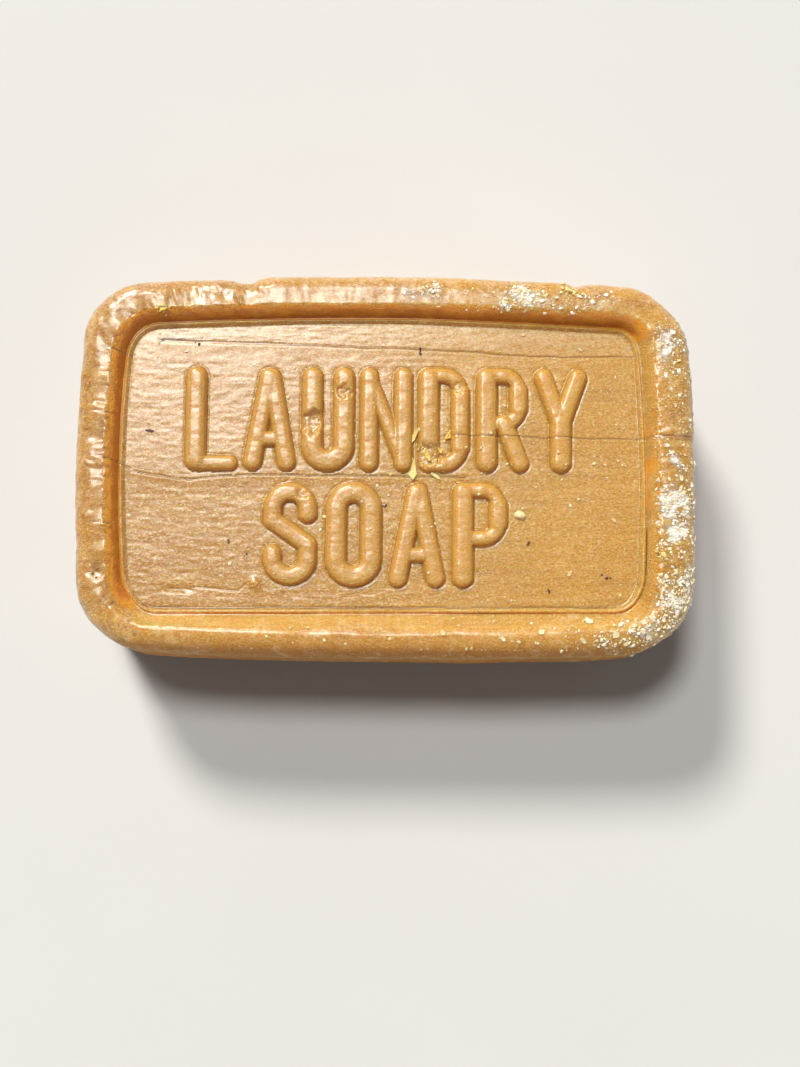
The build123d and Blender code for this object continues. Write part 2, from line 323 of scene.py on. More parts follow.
def side_profile():
    """(inset, height) pairs down the side, with the die seam at mid-height."""
    top = HEIGHT - ROLL_DEPTH
    seam = HEIGHT / 2
    rows = np.arange(top - SIDE_SPACING, seam + 0.6, -SIDE_SPACING)
    heights = np.concatenate([rows, seam + np.array([0.45, 0.25, 0, -0.25, -0.45]), 2 * seam - rows[::-1]])
    inset = SIDE_BULGE * ((heights - seam) / (top - seam)) ** 2 + SEAM_PROUD
    inset -= SEAM_PROUD * hump(heights - seam, SEAM_SPREAD)
    return np.column_stack([inset, heights])


def back_profile():
    """(inset, height) pairs round the lower edge, over the flat land and into the back's recess."""
    turn = np.linspace(0, math.pi / 2, 11)
    inset = SIDE_BULGE + (BACK_ROLL - SIDE_BULGE) * (1 - np.cos(turn))
    height = ROLL_DEPTH * (1 - np.sin(turn)) ** 1.25
    land = np.array([[5.2, 0.0], [6.2, 0.0], [BACK_LIP, 0.0]])
    lip = np.linspace(0, 1, 7)[1:]
    fall = np.column_stack([BACK_LIP + (BACK_FOOT - BACK_LIP) * lip, BACK_DEPTH * ramp(lip, 0, 1)])
    return np.concatenate([np.column_stack([inset, height]), land, fall, [[PANEL_INSET + 0.6, BACK_DEPTH]]])


# ---- lamination cracks across the panel, as points along their length ----
CRACK_UPPER = [(-35.6, 19.2), (-20.6, 18.9), (-8.3, 18.5), (2.4, 18.2), (14.7, 17.6), (23.9, 17.0),
               (38.7, 17.2)]
CRACK_MIDDLE = [(-39.0, -1.1), (-32.3, -2.1), (-29.3, -2.3), (-25.5, -1.8), (-20.2, -1.5), (-5.0, -1.6),
                (13.0, -1.7)]
CRACK_RIGHT = [(8.6, 4.8), (26.9, 4.5), (39.1, 4.4)]
CRACK_LOWER = [(-38.5, -20.8), (-34.8, -21.7), (-28.8, -21.8), (-15.3, -21.6), (2.7, -21.5), (17.8, -21.4),
               (34.0, -21.2)]
CRACK_RIM_RIGHT = [(38.0, 4.4), (42.0, 4.6), (46.8, 4.7)]
CRACKS_RIM_LEFT = [[(-42.4, 17.7), (-40.4, 17.0), (-38.4, 16.6)], [(-44.6, 7.9), (-42.8, 7.5), (-40.6, 7.5)],
                   [(-44.0, 0.9), (-41.8, 0.7), (-40.0, -0.2), (-38.6, -1.0)],
                   [(-44.4, -9.6), (-42.9, -9.1), (-41.0, -9.3)],
                   [(-44.2, -18.9), (-41.9, -20.6), (-39.6, -21.4)]]
# each crack's points, depth of its groove, height of its lower lip, and whether it crosses the rim
CRACKS = [(CRACK_UPPER, 0.07, 0.06, False), (CRACK_MIDDLE, 0.14, 0.09, False),
          (CRACK_RIGHT, 0.06, 0.03, False), (CRACK_LOWER, 0.12, 0.0, False),
          (CRACK_RIM_RIGHT, 0.15, 0.0, True),
          *((points, 0.14, 0.10, True) for points in CRACKS_RIM_LEFT)]


def crack_line(points, x):
    """The crack's place across the bar, with a slight wander, and a fade to nothing at its ends."""
    xs, ys = np.array(points).T
    wander = np.column_stack([x, np.full(len(x), ys[0]), np.zeros(len(x))])
    y = np.interp(x, xs, ys) + 0.16 * noise(wander, 3.5, 71, 3)
    taper = min(1.4, 0.2 * (xs[-1] - xs[0]))
    fade = ramp(x, xs[0] - 0.2, xs[0] + taper) * (1 - ramp(x, xs[-1] - 0.5 * taper, xs[-1] + 0.2))
    return y, fade


def panel_grid(loop, columns, rows):
    """Grid inside a loop of points, whose rows are bent to run along the cracks."""
    lower = loop[:columns + 1]
    right = loop[columns:columns + rows + 1]
    upper = loop[columns + rows:2 * columns + rows + 1][::-1]
    left = np.concatenate([loop[2 * columns + rows:], loop[:1]])[::-1]
    u = ((lower[:, 0] - lower[0, 0]) / (lower[-1, 0] - lower[0, 0]))[:, None, None]
    v = ((left[:, 1] - left[0, 1]) / (left[-1, 1] - left[0, 1]))[None, :, None]
    grid = (1 - v) * lower[:, None] + v * upper[:, None] + (1 - u) * left[None] + u * right[None]
    for edge, share in ((lower, 1 - v), (upper, v)):
        grid -= share * ((1 - u) * edge[0] + u * edge[-1])
    return grid


def bend_rows(grid, points, reach=5.0, pinch=0.55):
    """Bend the nearest row onto a crack, and draw the rows beside it closer."""
    middle = np.mean([p[1] for p in points])
    row = np.argmin(np.abs(grid[grid.shape[0] // 2, :, 1] - middle))
    x = grid[:, row, 0]
    y, fade = crack_line(points, x)
    fade = fade * ramp(np.arange(len(x)), 0, 5) * ramp(-np.arange(len(x)), -len(x) + 1, -len(x) + 6)
    shift = (y - grid[:, row, 1]) * fade
    away = np.abs(grid[:, :, 1] - grid[:, row, 1][:, None])
    room = np.minimum(reach, np.minimum(grid[:, row, 1] - grid[:, 0, 1], grid[:, -1, 1] - grid[:, row, 1]))
    hold = 1 - ramp(away, 0, room[:, None])
    grid[:, :, 1] += shift[:, None] * hold
    offset = grid[:, :, 1] - grid[:, row, 1][:, None]
    close = np.exp(-np.abs(offset) / 0.35) * fade[:, None]
    grid[:, :, 1] -= offset * pinch * close
    return grid


# ---- the bar as one closed mesh ----
def grid_faces(index):
    corners = index[:-1, :-1], index[1:, :-1], index[1:, 1:], index[:-1, 1:]
    return np.column_stack([corner.ravel() for corner in corners])


def band_faces(inner, outer):
    """Faces between two closed loops of as many points each."""
    return np.column_stack([inner, outer, np.roll(outer, -1), np.roll(inner, -1)])


def bar_surface():
    """Points and faces of the smooth bar: rings from the panel out over the rim and down the side to
    half as many points, then in over the back, with a grid inside the first and the last ring."""
    even = lambda count: 2 * int(round(count / 2))
    steps_x = even((LENGTH - 2 * PANEL_INSET - 7) / PANEL_SPACING)
    steps_y = even((WIDTH - 2 * PANEL_INSET - 7) / PANEL_SPACING)
    columns, rows = steps_x + CORNER_STEPS, steps_y + CORNER_STEPS
    around = 2 * (columns + rows)
    points, insets, quads, triangles = [], [], [], []

    def ring(inset, height, share):
        steps = (count // share for count in (steps_x, steps_y, CORNER_STEPS))
        loop = outline(inset, float(corner_radius_at(inset)), *steps)
        return np.column_stack([loop, np.full(len(loop), height)])

    def add(new_points, inset):
        points.append(new_points)
        insets.append(np.full(len(new_points), inset))

    front = front_profile()[::-1]
    grid = panel_grid(ring(*front[0], 1)[:, :2], columns, rows)
    for crack_points in (CRACK_UPPER, CRACK_MIDDLE, CRACK_RIGHT):
        grid = bend_rows(grid, crack_points)
    flat = grid.reshape(-1, 2)
    add(np.column_stack([flat, np.full(len(flat), front[0][1])]), PANEL_INSET)
    index = np.arange(len(flat)).reshape(columns + 1, rows + 1)
    quads.append(grid_faces(index))
    rim_of_grid = np.concatenate([index[:-1, 0], index[-1, :-1], index[:0:-1, -1], index[0, :0:-1]])
    count = len(flat)

    previous = rim_of_grid
    for inset, height in front[1:]:
        add(ring(inset, height, 1), inset)
        current = count + np.arange(around)
        quads.append(band_faces(previous, current))
        previous = current
        count += around

    half = around // 2
    down = np.concatenate([side_profile(), back_profile()])
    for k, (inset, height) in enumerate(down):
        add(ring(inset, height, 2), inset)
        current = count + np.arange(half)
        if k == 0:
            fine = previous.reshape(half, 2)
            after = np.roll(fine[:, 0], -1)
            triangles.append(np.column_stack([fine[:, 0], current, fine[:, 1]]))
            triangles.append(np.column_stack([fine[:, 1], current, np.roll(current, -1)]))
            triangles.append(np.column_stack([fine[:, 1], np.roll(current, -1), after]))
        else:
            quads.append(band_faces(previous, current))
        previous = current
        count += half

    back = panel_grid(points[-1][:, :2], columns // 2, rows // 2)
    inner = back[1:-1, 1:-1].reshape(-1, 2)
    add(np.column_stack([inner, np.full(len(inner), BACK_DEPTH)]), PANEL_INSET)
    index = np.empty((columns // 2 + 1, rows // 2 + 1), dtype=np.int64)
    index[1:-1, 1:-1] = count + np.arange(len(inner)).reshape(columns // 2 - 1, rows // 2 - 1)
    index[:-1, 0] = previous[:columns // 2]
    index[-1, :-1] = previous[columns // 2:(columns + rows) // 2]
    index[:0:-1, -1] = previous[(columns + rows) // 2:columns + rows // 2]
    index[0, :0:-1] = previous[columns + rows // 2:]
    quads.append(grid_faces(index)[:, [0, 3, 2, 1]])
    return np.concatenate(points), np.concatenate(insets), np.concatenate(quads), np.concatenate(triangles)


def vertex_normals(points, quads, triangles):
    normals = np.zeros_like(points)
    for faces in (quads, triangles):
        diagonal = 2 if faces.shape[1] == 3 else 3
        origin = points[faces[:, 0]]
        cross = np.cross(points[faces[:, 1]] - origin, points[faces[:, diagonal]] - origin)
        for column in range(faces.shape[1]):
            np.add.at(normals, faces[:, column], cross)
    return normals / np.linalg.norm(normals, axis=1, keepdims=True)


def place(name, data):
    obj = bpy.data.objects.new(name, data)
    bpy.context.scene.collection.objects.link(obj)
    return obj


def make_mesh(name, points, quads=None, triangles=None, smooth=True):
    """A mesh object, in metres, from points in millimetres and arrays of four- and three-sided faces."""
    faces = [f for f in (quads, triangles) if f is not None and len(f)]
    loops = np.concatenate([f.ravel() for f in faces]).astype(np.int32)
    sizes = np.concatenate([np.full(len(f), f.shape[1]) for f in faces])
    starts = np.concatenate([[0], np.cumsum(sizes)[:-1]]).astype(np.int32)
    mesh = bpy.data.meshes.new(name)
    mesh.vertices.add(len(points))
    mesh.vertices.foreach_set("co", (np.asarray(points) * MM).astype(np.float32).ravel())
    mesh.loops.add(len(loops))
    mesh.loops.foreach_set("vertex_index", loops)
    mesh.polygons.add(len(starts))
    mesh.polygons.foreach_set("loop_start", starts)
    mesh.update(calc_edges=True)
    mesh.validate()
    mesh.polygons.foreach_set("use_smooth", np.full(len(mesh.polygons), smooth))
    return place(name, mesh)


def add_mask(obj, name, values):
    layer = obj.data.attributes.new(name, "FLOAT", "POINT")
    layer.data.foreach_set("value", values.astype(np.float32))


# ---- wear: marks on the rim and the panel ----
# dents and torn spots on the rim: x, y, radius across, radius along, depth
DENTS = [
    (-21.2, 29.3, 2.4, 3.5, 0.75), (-27.5, 26.6, 4.0, 1.6, 0.35), (-31.5, 25.2, 2.2, 1.3, 0.3),
    (-38.6, 23.4, 2.8, 2.4, 0.35), (-42.6, 18.0, 1.8, 2.6, 0.2), (-44.4, 10.8, 2.0, 1.5, 0.2),
    (-43.6, 4.2, 2.4, 1.9, 0.15), (-43.8, -1.6, 2.2, 1.2, 0.15), (-44.0, -7.2, 2.0, 1.1, 0.15),
    (-44.2, -12.2, 2.0, 0.8, 0.2), (-43.2, -16.6, 1.1, 1.0, 0.5), (28.9, 28.4, 1.6, 1.2, 0.5),
    (10.6, -26.8, 2.2, 1.5, 0.22), (-11.5, -25.6, 2.4, 1.0, 0.2), (0.4, -24.4, 3.0, 0.7, 0.14),
    (-6.0, -27.4, 1.6, 1.0, 0.25), (44.6, 3.9, 2.6, 0.5, 0.35), (45.0, -9.6, 1.6, 1.8, 0.3),
    (39.5, 24.0, 2.6, 2.0, 0.25), (-8.0, 26.6, 5.0, 1.4, 0.15),
]
# transverse wrinkles on the rim's left end: y and strength of each
WRINKLES = [(12.8, 0.6), (9.2, 1.3), (4.6, 0.7), (0.4, 1.2), (-3.2, 0.6), (-9.4, 0.8), (-15.4, 1.0)]
# broken spots in the lettering: x, y, radius, share of the height that is left
CHIPS = [(-11.3, 6.6, 1.9, 0.25), (-6.4, 11.4, 1.0, 0.5), (6.2, 1.6, 2.0, 0.35),
         (10.9, 12.2, 1.0, 0.65), (-12.6, -4.4, 1.0, 0.65)]
# chalky spots: x, y, half width, half length, strength
CHALK_SPOTS = [
    (42.4, 18.6, 2.0, 2.8, 1.1), (44.2, 13.5, 1.6, 2.4, 0.45), (44.4, 6.5, 1.8, 2.0, 0.4),
    (43.4, 1.0, 1.8, 2.2, 0.6), (43.6, -5.5, 2.2, 3.0, 1.5), (43.8, -10.0, 2.0, 2.0, 1.3),
    (45.2, -14.5, 1.4, 3.0, 0.6), (42.8, -20.8, 1.9, 2.2, 0.9), (40.0, -24.6, 3.0, 1.7, 0.75),
    (34.0, -26.2, 3.0, 1.2, 0.45), (45.6, -19.0, 1.2, 3.0, 0.8), (24.0, -25.4, 2.2, 0.9, 0.3),
    (7.3, 26.6, 0.9, 1.2, 1.8), (20.4, 26.5, 2.0, 1.0, 2.0), (21.5, 25.1, 1.2, 0.9, 1.6),
    (18.0, 24.3, 1.1, 0.7, 1.1), (30.5, 25.2, 2.8, 1.1, 0.6), (24.2, 25.4, 1.1, 1.0, 0.8),
    (3.4, 26.1, 2.4, 0.8, 0.6), (-9.0, -24.8, 2.4, 0.9, 0.35), (-31.0, 25.4, 1.8, 0.9, 0.5),
]


def chalkiness(x, y):
    return sum(strength * patch(x, y, *spot) for *spot, strength in CHALK_SPOTS)


class Surface:
    """The smooth bar's points and where each of them is, for the wear to be worked out from."""

    def __init__(self, points, inset):
        self.points, self.inset = points, inset
        self.x, self.y, self.z = x, y, z = points.T
        self.top = ramp(z, 17.0, 22.0)
        self.on_panel = ramp(inset, 7.75, 8.05) * self.top
        self.on_rim = (1 - ramp(inset, 5.6, 6.8)) * self.top
        self.right_end = ramp(x + 0.25 * np.maximum(-y, 0), 38.0, 44.0)
        burnished = ramp(y, 23, 25) * ramp(x, -21, -18) * (1 - ramp(x, 16, 26))
        self.calm = 1 - 0.75 * np.maximum(burnished, ramp(-y, 21, 25) * ramp(x, -40, -32))
        crusted = np.maximum(self.right_end, 0.9 * ramp(x - y, 58, 68)) * (1 - ramp(inset, 5.4, 6.6))
        self.crusted = crusted * ramp(z, 19, 26)
        self.lumps = self.noise(1.7, 5, 4)
        self.rough = self.noise(0.9, 21, 3)

    def noise(self, size, seed, octaves=1):
        return noise(self.points, size, seed, octaves)


def rim_form(at):
    """Slow waves, a shorter right end, a fuller top rim and a gentler inner wall on the lower side."""
    move = (0.28 * at.noise(22.0, 1, 2) - 0.3 * ramp(at.x, 43, 47)) * (1 - at.on_panel)
    move += 0.35 * ramp(at.x, -20.6, -19.6) * (1 - ramp(at.x, 4, 20)) * ramp(at.y, 25.5, 28) * at.top
    slope = np.clip((at.inset - WALL_TOP) / (WALL_FOOT - WALL_TOP), 0, 1)
    bead = BEAD_HEIGHT * hump(at.inset - BEAD_AT, BEAD_SPREAD)
    gentle = HEIGHT - LAND_DEPTH * slope ** 1.6 + bead - np.interp(at.inset, *front_profile().T)
    lower_side = ramp(-at.y, 17, 22) * (at.inset < STEP_AT) * (at.inset > WALL_TOP) * at.top
    return move + gentle * lower_side


def rim_skin(at):
    """Ripples drawn out along the rim, folds and fine bumps where it isn't burnished, and lumpy crust."""
    along_end = ramp(np.abs(at.x) - np.abs(at.y), 14, 24)
    drawn = along_end * at.noise((1.5, 4.0, 3.0), 30, 3) + (1 - along_end) * at.noise((4.5, 1.5, 3.0), 30, 3)
    fine = at.noise(0.8, 36, 3) * np.maximum(ramp(-at.x, 17, 25), 0.6 * at.right_end)
    skin = 0.11 * drawn - 0.10 * np.abs(at.noise(1.8, 31, 3)) + 0.05 * fine
    move = (0.10 * at.noise(6.0, 2, 2) + skin * at.calm + 0.035 * at.noise(1.3, 16, 2)) * at.on_rim
    move += 0.16 * at.noise(2.6, 39, 3) * hump(at.inset - 5.2, 0.9) * at.top * at.calm
    move += 0.12 * at.noise(5.0, 3, 3) * (1 - at.top)
    return move + at.crusted * (0.19 * np.abs(at.lumps) + 0.15 * at.noise(0.7, 6, 2))


def marks(at):
    """The dents, and the wrinkles across the rim's left end."""
    move = np.zeros(len(at.x))
    ragged = 1 + 0.5 * at.noise(1.2, 9, 2)
    for dent_x, dent_y, across, along, depth in DENTS:
        spread = ((at.x - dent_x) / across) ** 2 + ((at.y - dent_y) / along) ** 2
        move -= depth * np.exp(-spread * ragged) * ramp(at.z, 14, 20)
    wander = 1.1 * at.noise(4.0, 12, 3)
    patchy = ramp(at.noise(5.0, 13, 2), -0.35, 0.1) * ramp(-at.x, 37.5, 40.0) * at.on_rim
    for wrinkle_y, strength in WRINKLES:
        off = at.y - wrinkle_y - wander
        move += strength * (0.04 * hump(off + 0.51, 0.48) - 0.08 * hump(off, 0.3)) * patchy
    return move


def torn_skin(at):
    """Torn patches and veins on the rim: the move, and how strong each of them is."""
    torn = ramp(at.noise(3.2, 14, 3), 0.0, 0.4) * at.on_rim
    torn *= np.maximum(ramp(-at.x - 0.5 * np.abs(at.y), 8, 22), 0.6 * ramp(at.y, 24.5, 26))
    veins = hump(at.noise(2.0, 40, 3), 0.07) * at.on_rim
    veins *= np.maximum(ramp(-at.x, 17, 23), 0.7 * ramp(at.x, 38, 42)) * at.calm
    return -torn * (0.08 + 0.08 * at.noise(0.9, 15, 3)) - 0.07 * veins, torn, veins


def panel_skin(at):
    """Drag marks, strongest on the left of the panel, and faint layers on its right."""
    left_panel = at.on_panel * (1 - 0.6 * ramp(at.x, 0, 26))
    layers = at.noise((14.0, 1.6, 4.0), 19, 2) * ramp(at.x, -5, 25)
    all_over = 0.05 * at.noise(9.0, 4, 2) + 0.014 * at.noise((1.0, 0.5, 1.0), 18, 2)
    return 0.02 * at.noise((2.6, 0.5, 3.0), 17, 2) * left_panel + (all_over + 0.03 * layers) * at.on_panel


def worn_letters(at):
    """The chipped lettering: its height, its sharp foot, where the crease gets painted shade, its flank,
    where the letters' sides get painted shade, and where it is broken.
    """
    height, edge = lettering(at.x, at.y)
    kept = np.ones(len(at.x))
    for chip_x, chip_y, radius, share in CHIPS:
        away = np.hypot(at.x - chip_x, at.y - chip_y) + 0.9 * at.rough
        kept = np.minimum(kept, share + (1 - share) * ramp(away, radius * 0.7, radius * 1.15))
    broken = (kept < 0.97) & (height > 0)
    letters = height * kept * (1 + 0.05 * at.noise(2.2, 22, 2)) + broken * 0.10 * at.noise(0.5, 23, 2)
    raised = np.where(at.z > PANEL_Z - 0.5, letters, 0) * at.top
    return raised, hump(edge - 0.08, 0.14) * at.on_panel, hump(edge + 0.12, 0.32) * at.on_panel, broken


def cracks(at):
    """The lamination cracks, narrow grooves whose lower side stands a little higher, and their mask."""
    move, mask = np.zeros((2, len(at.x)))
    past_bead = ramp(at.inset, 7.5, 7.8) * at.top
    for crack_points, depth, lip, over_rim in CRACKS:
        line_y, fade = crack_line(crack_points, at.x)
        fade = fade * (at.top if over_rim else past_bead)
        off = at.y - line_y
        move += (lip * np.exp(-np.abs(off) / 0.9) * (off < 0) - depth * hump(off, 0.09)) * fade
        mask = np.maximum(mask, hump(off, 0.10) * fade)
    return move, mask


def gouges(at):
    """A gouge, a lump and a scratch at the lower left of the panel: the move, and two of them as masks."""
    along, across = (at.x + 31.0 - 0.3 * at.rough) / 2.1, (at.y + 19.0 - 0.12 * at.rough) / 0.42
    gouge = np.exp(-along ** 4 - across ** 2)
    lump = patch(at.x, at.y, -19.6, -18.0, 0.71, 0.71)
    scratch = hump(at.y - np.interp(at.x, [-29.7, -22.1, -20.9], [-18.5, -19.2, -18.0]), 0.12)
    scratch *= ramp(at.x, -29.9, -29.0) * (1 - ramp(at.x, -21.2, -20.6)) * at.on_panel
    return 0.35 * lump - 0.30 * gouge - 0.10 * scratch, gouge, scratch


def wear(points, inset):
    """Displacement along the normal, and masks for the material, at every point of the smooth bar."""
    at = Surface(points, inset)
    torn_move, torn, veins = torn_skin(at)
    raised, foot, flank, broken = worn_letters(at)
    crack_move, crack = cracks(at)
    gouge_move, gouge, scratch = gouges(at)
    move = rim_form(at) + rim_skin(at) + marks(at) + panel_skin(at)
    move += torn_move + raised - 0.10 * foot + crack_move + gouge_move

    dusted = chalkiness(at.x, at.y) + 0.22 * at.crusted * ramp(at.noise(3.0, 34, 3), -0.3, 0.3)
    # painted glow and painted shade on the inner wall, strongest on the top and left walls, which face away
    # from the light, and weak on the lower wall and at the right end
    wall = ramp(inset + 0.45 * at.noise(2.2, 42, 3), 4.7, 6.7) * (1 - ramp(inset, 7.0, 7.2)) * at.top
    broken_up = ramp(at.x, 34, 38) * (0.92 - 0.45 * ramp(at.noise(3.5, 38, 2), 0.0, 0.3))
    wall *= 1 - np.maximum(0.85 * ramp(-at.y, 20, 22.5), broken_up * ramp(-at.y, -22, -18))
    # places where the rim gets painted sheen: the top rim, the right end, a stretch of the lower rim and the
    # left end
    places = np.maximum(ramp(at.y, 23, 25.5), 0.7 * ramp(at.x, 40, 43))
    places = np.maximum(places, 1.2 * patch(at.x, at.y, -2.5, -24.4, 9.0, 1.7))
    places = np.maximum(places, 0.45 * ramp(-at.x, 39, 42))
    masks = {
        "crust": dusted * hump(at.z - HEIGHT, 4.0) * (0.75 + 1.1 * at.lumps + 0.5 * at.noise(0.6, 37, 2)),
        "groove": wall,
        # flank: painted shade on the letters' sides
        "flank": flank,
        # crack: the cracks, the scratch and the veins, and also the letters' foot, whose darkening is painted
        # shade in the crease
        "crack": crack + 0.6 * scratch + 0.32 * foot + 0.5 * veins,
        "bloom": ramp(at.noise(4.0, 33, 3), -0.25, 0.25) * at.on_rim * places,
        # letter: also where the letter tops are drawn paler as painted sheen
        "letter": ramp(raised, 0.25, 0.8),
        "panel": at.on_panel,
        "torn": torn + 1.5 * gouge + 0.5 * broken,
    }
    return move, {name: np.clip(values, 0, 1) for name, values in masks.items()}


def round_off(points, inset):
    """Wear three corners rounder than the mould made them, most of all those at the right end."""
    points = points.copy()
    for side_x, side_y, cut, towards in ((1, 1, 0.95, 45), (1, -1, 0.8, 55), (-1, -1, 0.6, 50)):
        away_x, away_y = side_x * points[:, 0] - 36.5, side_y * points[:, 1] - 18.5
        angle = np.degrees(np.arctan2(away_y, away_x))
        share = cut * np.exp(-((angle - towards) / 34) ** 2) * (1 - ramp(inset, 1.5, 6.5))
        share *= ramp(np.hypot(away_x, away_y), 2, 6)
        points[:, 0] -= side_x * share * np.cos(np.radians(angle))
        points[:, 1] -= side_y * share * np.sin(np.radians(angle))
    return points


def straighten(points, inset):
    """Shift the bead as the press left it: straight along its lower side, nearer the middle on its right
    side, and a little higher at the top left."""
    points = points.copy()
    x, y = points[:, 0].copy(), points[:, 1].copy()
    held = ramp(inset, 3.9, 6.4)
    lower = ramp(-y, 17.5, 20.5) * (1 - ramp(np.abs(x), 34.5, 40.5))
    upper = ramp(y, 17.5, 20.5) * (1 - ramp(x, 0, 30))
    right = ramp(x, 35.0, 38.5) * (1 - ramp(np.abs(y), 17.0, 22.5))
    points[:, 1] += held * (lower * (0.05 + 0.008 * x - SIDE_BOW * (x / 39) ** 2) + 0.3 * upper)
    points[:, 0] -= ramp(inset, 1.5, 4.8) * right * (0.72 + 0.017 * y + 0.3 * (1 - (y / 19) ** 2))
    return points


def worn_bar():
    points, inset, quads, triangles = bar_surface()
    points = straighten(round_off(points, inset), inset)
    normals = vertex_normals(points, quads, triangles)
    move, masks = wear(points, inset)
    points = points + normals * move[:, None]
    points[:, 2] = np.maximum(points[:, 2], 0)
    obj = make_mesh("soap_bar_worn", points, quads, triangles)
    for name, values in masks.items():
        add_mask(obj, name, values)
    return obj


# ---- bits stuck to the bar ----
def ground(x, y):
    """The worn bar's surface under a place: point and normal, in millimetres."""
    spot, normal, _, _ = bar_tree.ray_cast(Vector((x * MM, y * MM, 1)), Vector((0, 0, -1)))
    if spot is None:
        return None, None
    return np.array(spot) / MM, np.array(normal)


def frame_at(normal, turn):
    """Two directions along the surface, turned about its normal, and the normal itself."""
    side = np.cross(normal, [0.3, 0.9, 0.1])
    side /= np.linalg.norm(side)
    other = np.cross(normal, side)
    return np.array([math.cos(turn) * side + math.sin(turn) * other,
                     math.cos(turn) * other - math.sin(turn) * side, normal])


class Bits:
    """Collects many small shapes that become one piece."""

    def __init__(self, seed):
        self.rng = np.random.default_rng(seed)
        self.points, self.triangles, self.tones = [], [], []
        self.count = 0

    def put(self, points, triangles):
        self.points.append(points)
        self.triangles.append(triangles + self.count)
        self.tones.append(np.full(len(points), self.rng.random()))
        self.count += len(points)

    def lump(self, x, y, across, detail=2, flatness=0.7, ragged=0.35, sink=0.3, facets=5):
        """An irregular grain or crumb, sunk a little into the surface."""
        spot, normal = ground(x, y)
        if spot is None:
            return
        points, triangles = spheres[detail]
        seed = int(self.rng.integers(1, 10 ** 6))
        shaped = points * (1 + ragged * noise(points + seed % 97, 0.8, seed, 3)[:, None])
        for _ in range(facets):
            facing = self.rng.standard_normal(3)
            facing /= np.linalg.norm(facing)
            over = np.maximum(shaped @ facing - 0.55, 0)
            shaped = shaped - over[:, None] * facing
        narrower, lower = self.rng.uniform(0.6, 0.95), flatness * self.rng.uniform(0.8, 1.1)
        stretch = np.array([1, narrower, lower]) * across / 2
        axes = frame_at(normal, self.rng.uniform(0, 6.28))
        self.put(spot + (shaped * stretch) @ axes + normal * stretch[2] * (1 - 2 * sink), triangles)

    def flake(self, x, y, length, width, thick=0.14, lift=0.1, curl=0.2, turn=None, taper=0.0, corners=0):
        """A thin jagged chip that follows a slight curl."""
        spot, normal = ground(x, y)
        if spot is None:
            return
        corners = corners or int(self.rng.integers(9, 15))
        angles = (np.arange(corners) + self.rng.uniform(-0.3, 0.3, corners)) / corners * 2 * math.pi
        radii = self.rng.uniform(0.68, 1.08, corners)
        edge = np.column_stack([np.cos(angles) * radii, np.sin(angles) * radii])
        edge[:, 1] *= 1 - taper * (edge[:, 0] + 1) / 2
        rings = np.concatenate([edge * share for share in (1.0, 0.92, 0.6, 0.3)] + [[[0, 0]]])
        sheet = rings * [length / 2, width / 2]
        bend = curl * ((rings[:, 0] ** 2) - 0.3) + lift + 0.03 * self.rng.standard_normal(len(rings))
        thickness = np.concatenate([np.full(corners, 0.3), np.full(3 * corners + 1, 0.5)]) * thick
        upper = np.column_stack([sheet, bend + thickness])
        lower = np.column_stack([sheet, bend - thickness])
        count = len(rings)
        faces = []
        for i in range(corners):
            j = (i + 1) % corners
            for ring in range(3):
                a, b = ring * corners + i, ring * corners + j
                faces += [(a, b, b + corners), (a, b + corners, a + corners)]
            faces.append((3 * corners + i, 3 * corners + j, 4 * corners))
            faces += [(j, i, count + i), (j, count + i, count + j)]
        top_faces = [f for f in faces if max(f) < count]
        faces += [tuple(k + count for k in reversed(f)) for f in top_faces]
        axes = frame_at(normal, self.rng.uniform(0, 6.28) if turn is None else turn)
        tilt = self.rng.uniform(-0.12, 0.12)
        axes[2] = axes[2] + tilt * axes[0]
        self.put(spot + np.concatenate([upper, lower]) @ axes, np.array(faces))

    def scatter(self, count, low, high, weight, size, largest, flatness, ragged=0.6):
        """Grains of many sizes where the weight, from 0 to 1, lets them stay."""
        placed = 0
        while placed < count:
            x, y = self.rng.uniform(low, high)
            if self.rng.random() < weight(x, y):
                across = float(np.clip(self.rng.lognormal(math.log(size), 0.45), 0.12, largest))
                self.lump(x, y, across, detail=1 if across < 0.5 else 2, flatness=flatness, ragged=ragged)
                placed += 1

    def piece(self, node, kind, look, smooth=True):
        points, triangles = np.concatenate(self.points), np.concatenate(self.triangles)
        obj = make_mesh(f"{node}_{kind}", points, None, triangles, smooth)
        add_mask(obj, "tone", np.concatenate(self.tones))
        obj.data.materials.append(look)
        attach(obj, "root")
        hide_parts(node)


def sphere(subdivisions):
    ball = bmesh.new()
    bmesh.ops.create_icosphere(ball, subdivisions=subdivisions, radius=1)
    points = np.array([tuple(v.co) for v in ball.verts])
    triangles = np.array([[v.index for v in f.verts] for f in ball.faces])
    ball.free()
    return points, triangles


def noise_at(x, y, size, seed):
    return noise(np.array([[x, y, 0.0]]), size, seed, 2)[0]


# how likely a grain is to stay at a place, from 0 to 1
def right_rim_weight(x, y):
    lumpy = min(1, max(0, 0.5 + 0.8 * noise_at(x, y, 3.0, 41)))
    along = 0.25 + 0.75 * patch(x, y, 44, -6, 30, 10)
    return lumpy * (0.25 * along + 0.8 * chalkiness(x, y)) * (x > 39.6)


def lower_corner_weight(x, y):
    on_rim = x > 40.4 or y < -22.8
    return on_rim * min(1, 0.45 * patch(x, y, 42.0, -23.0, 6.5, 6.5) + 0.7 * chalkiness(x, y))


def top_rim_weight(x, y):
    return min(1, 0.7 * chalkiness(x, y) + 0.12 * patch(x, y, 24, 25.6, 12, 2))


def lower_rim_weight(x, y):
    return 0.15 + 0.85 * ramp(x, 5, 30)


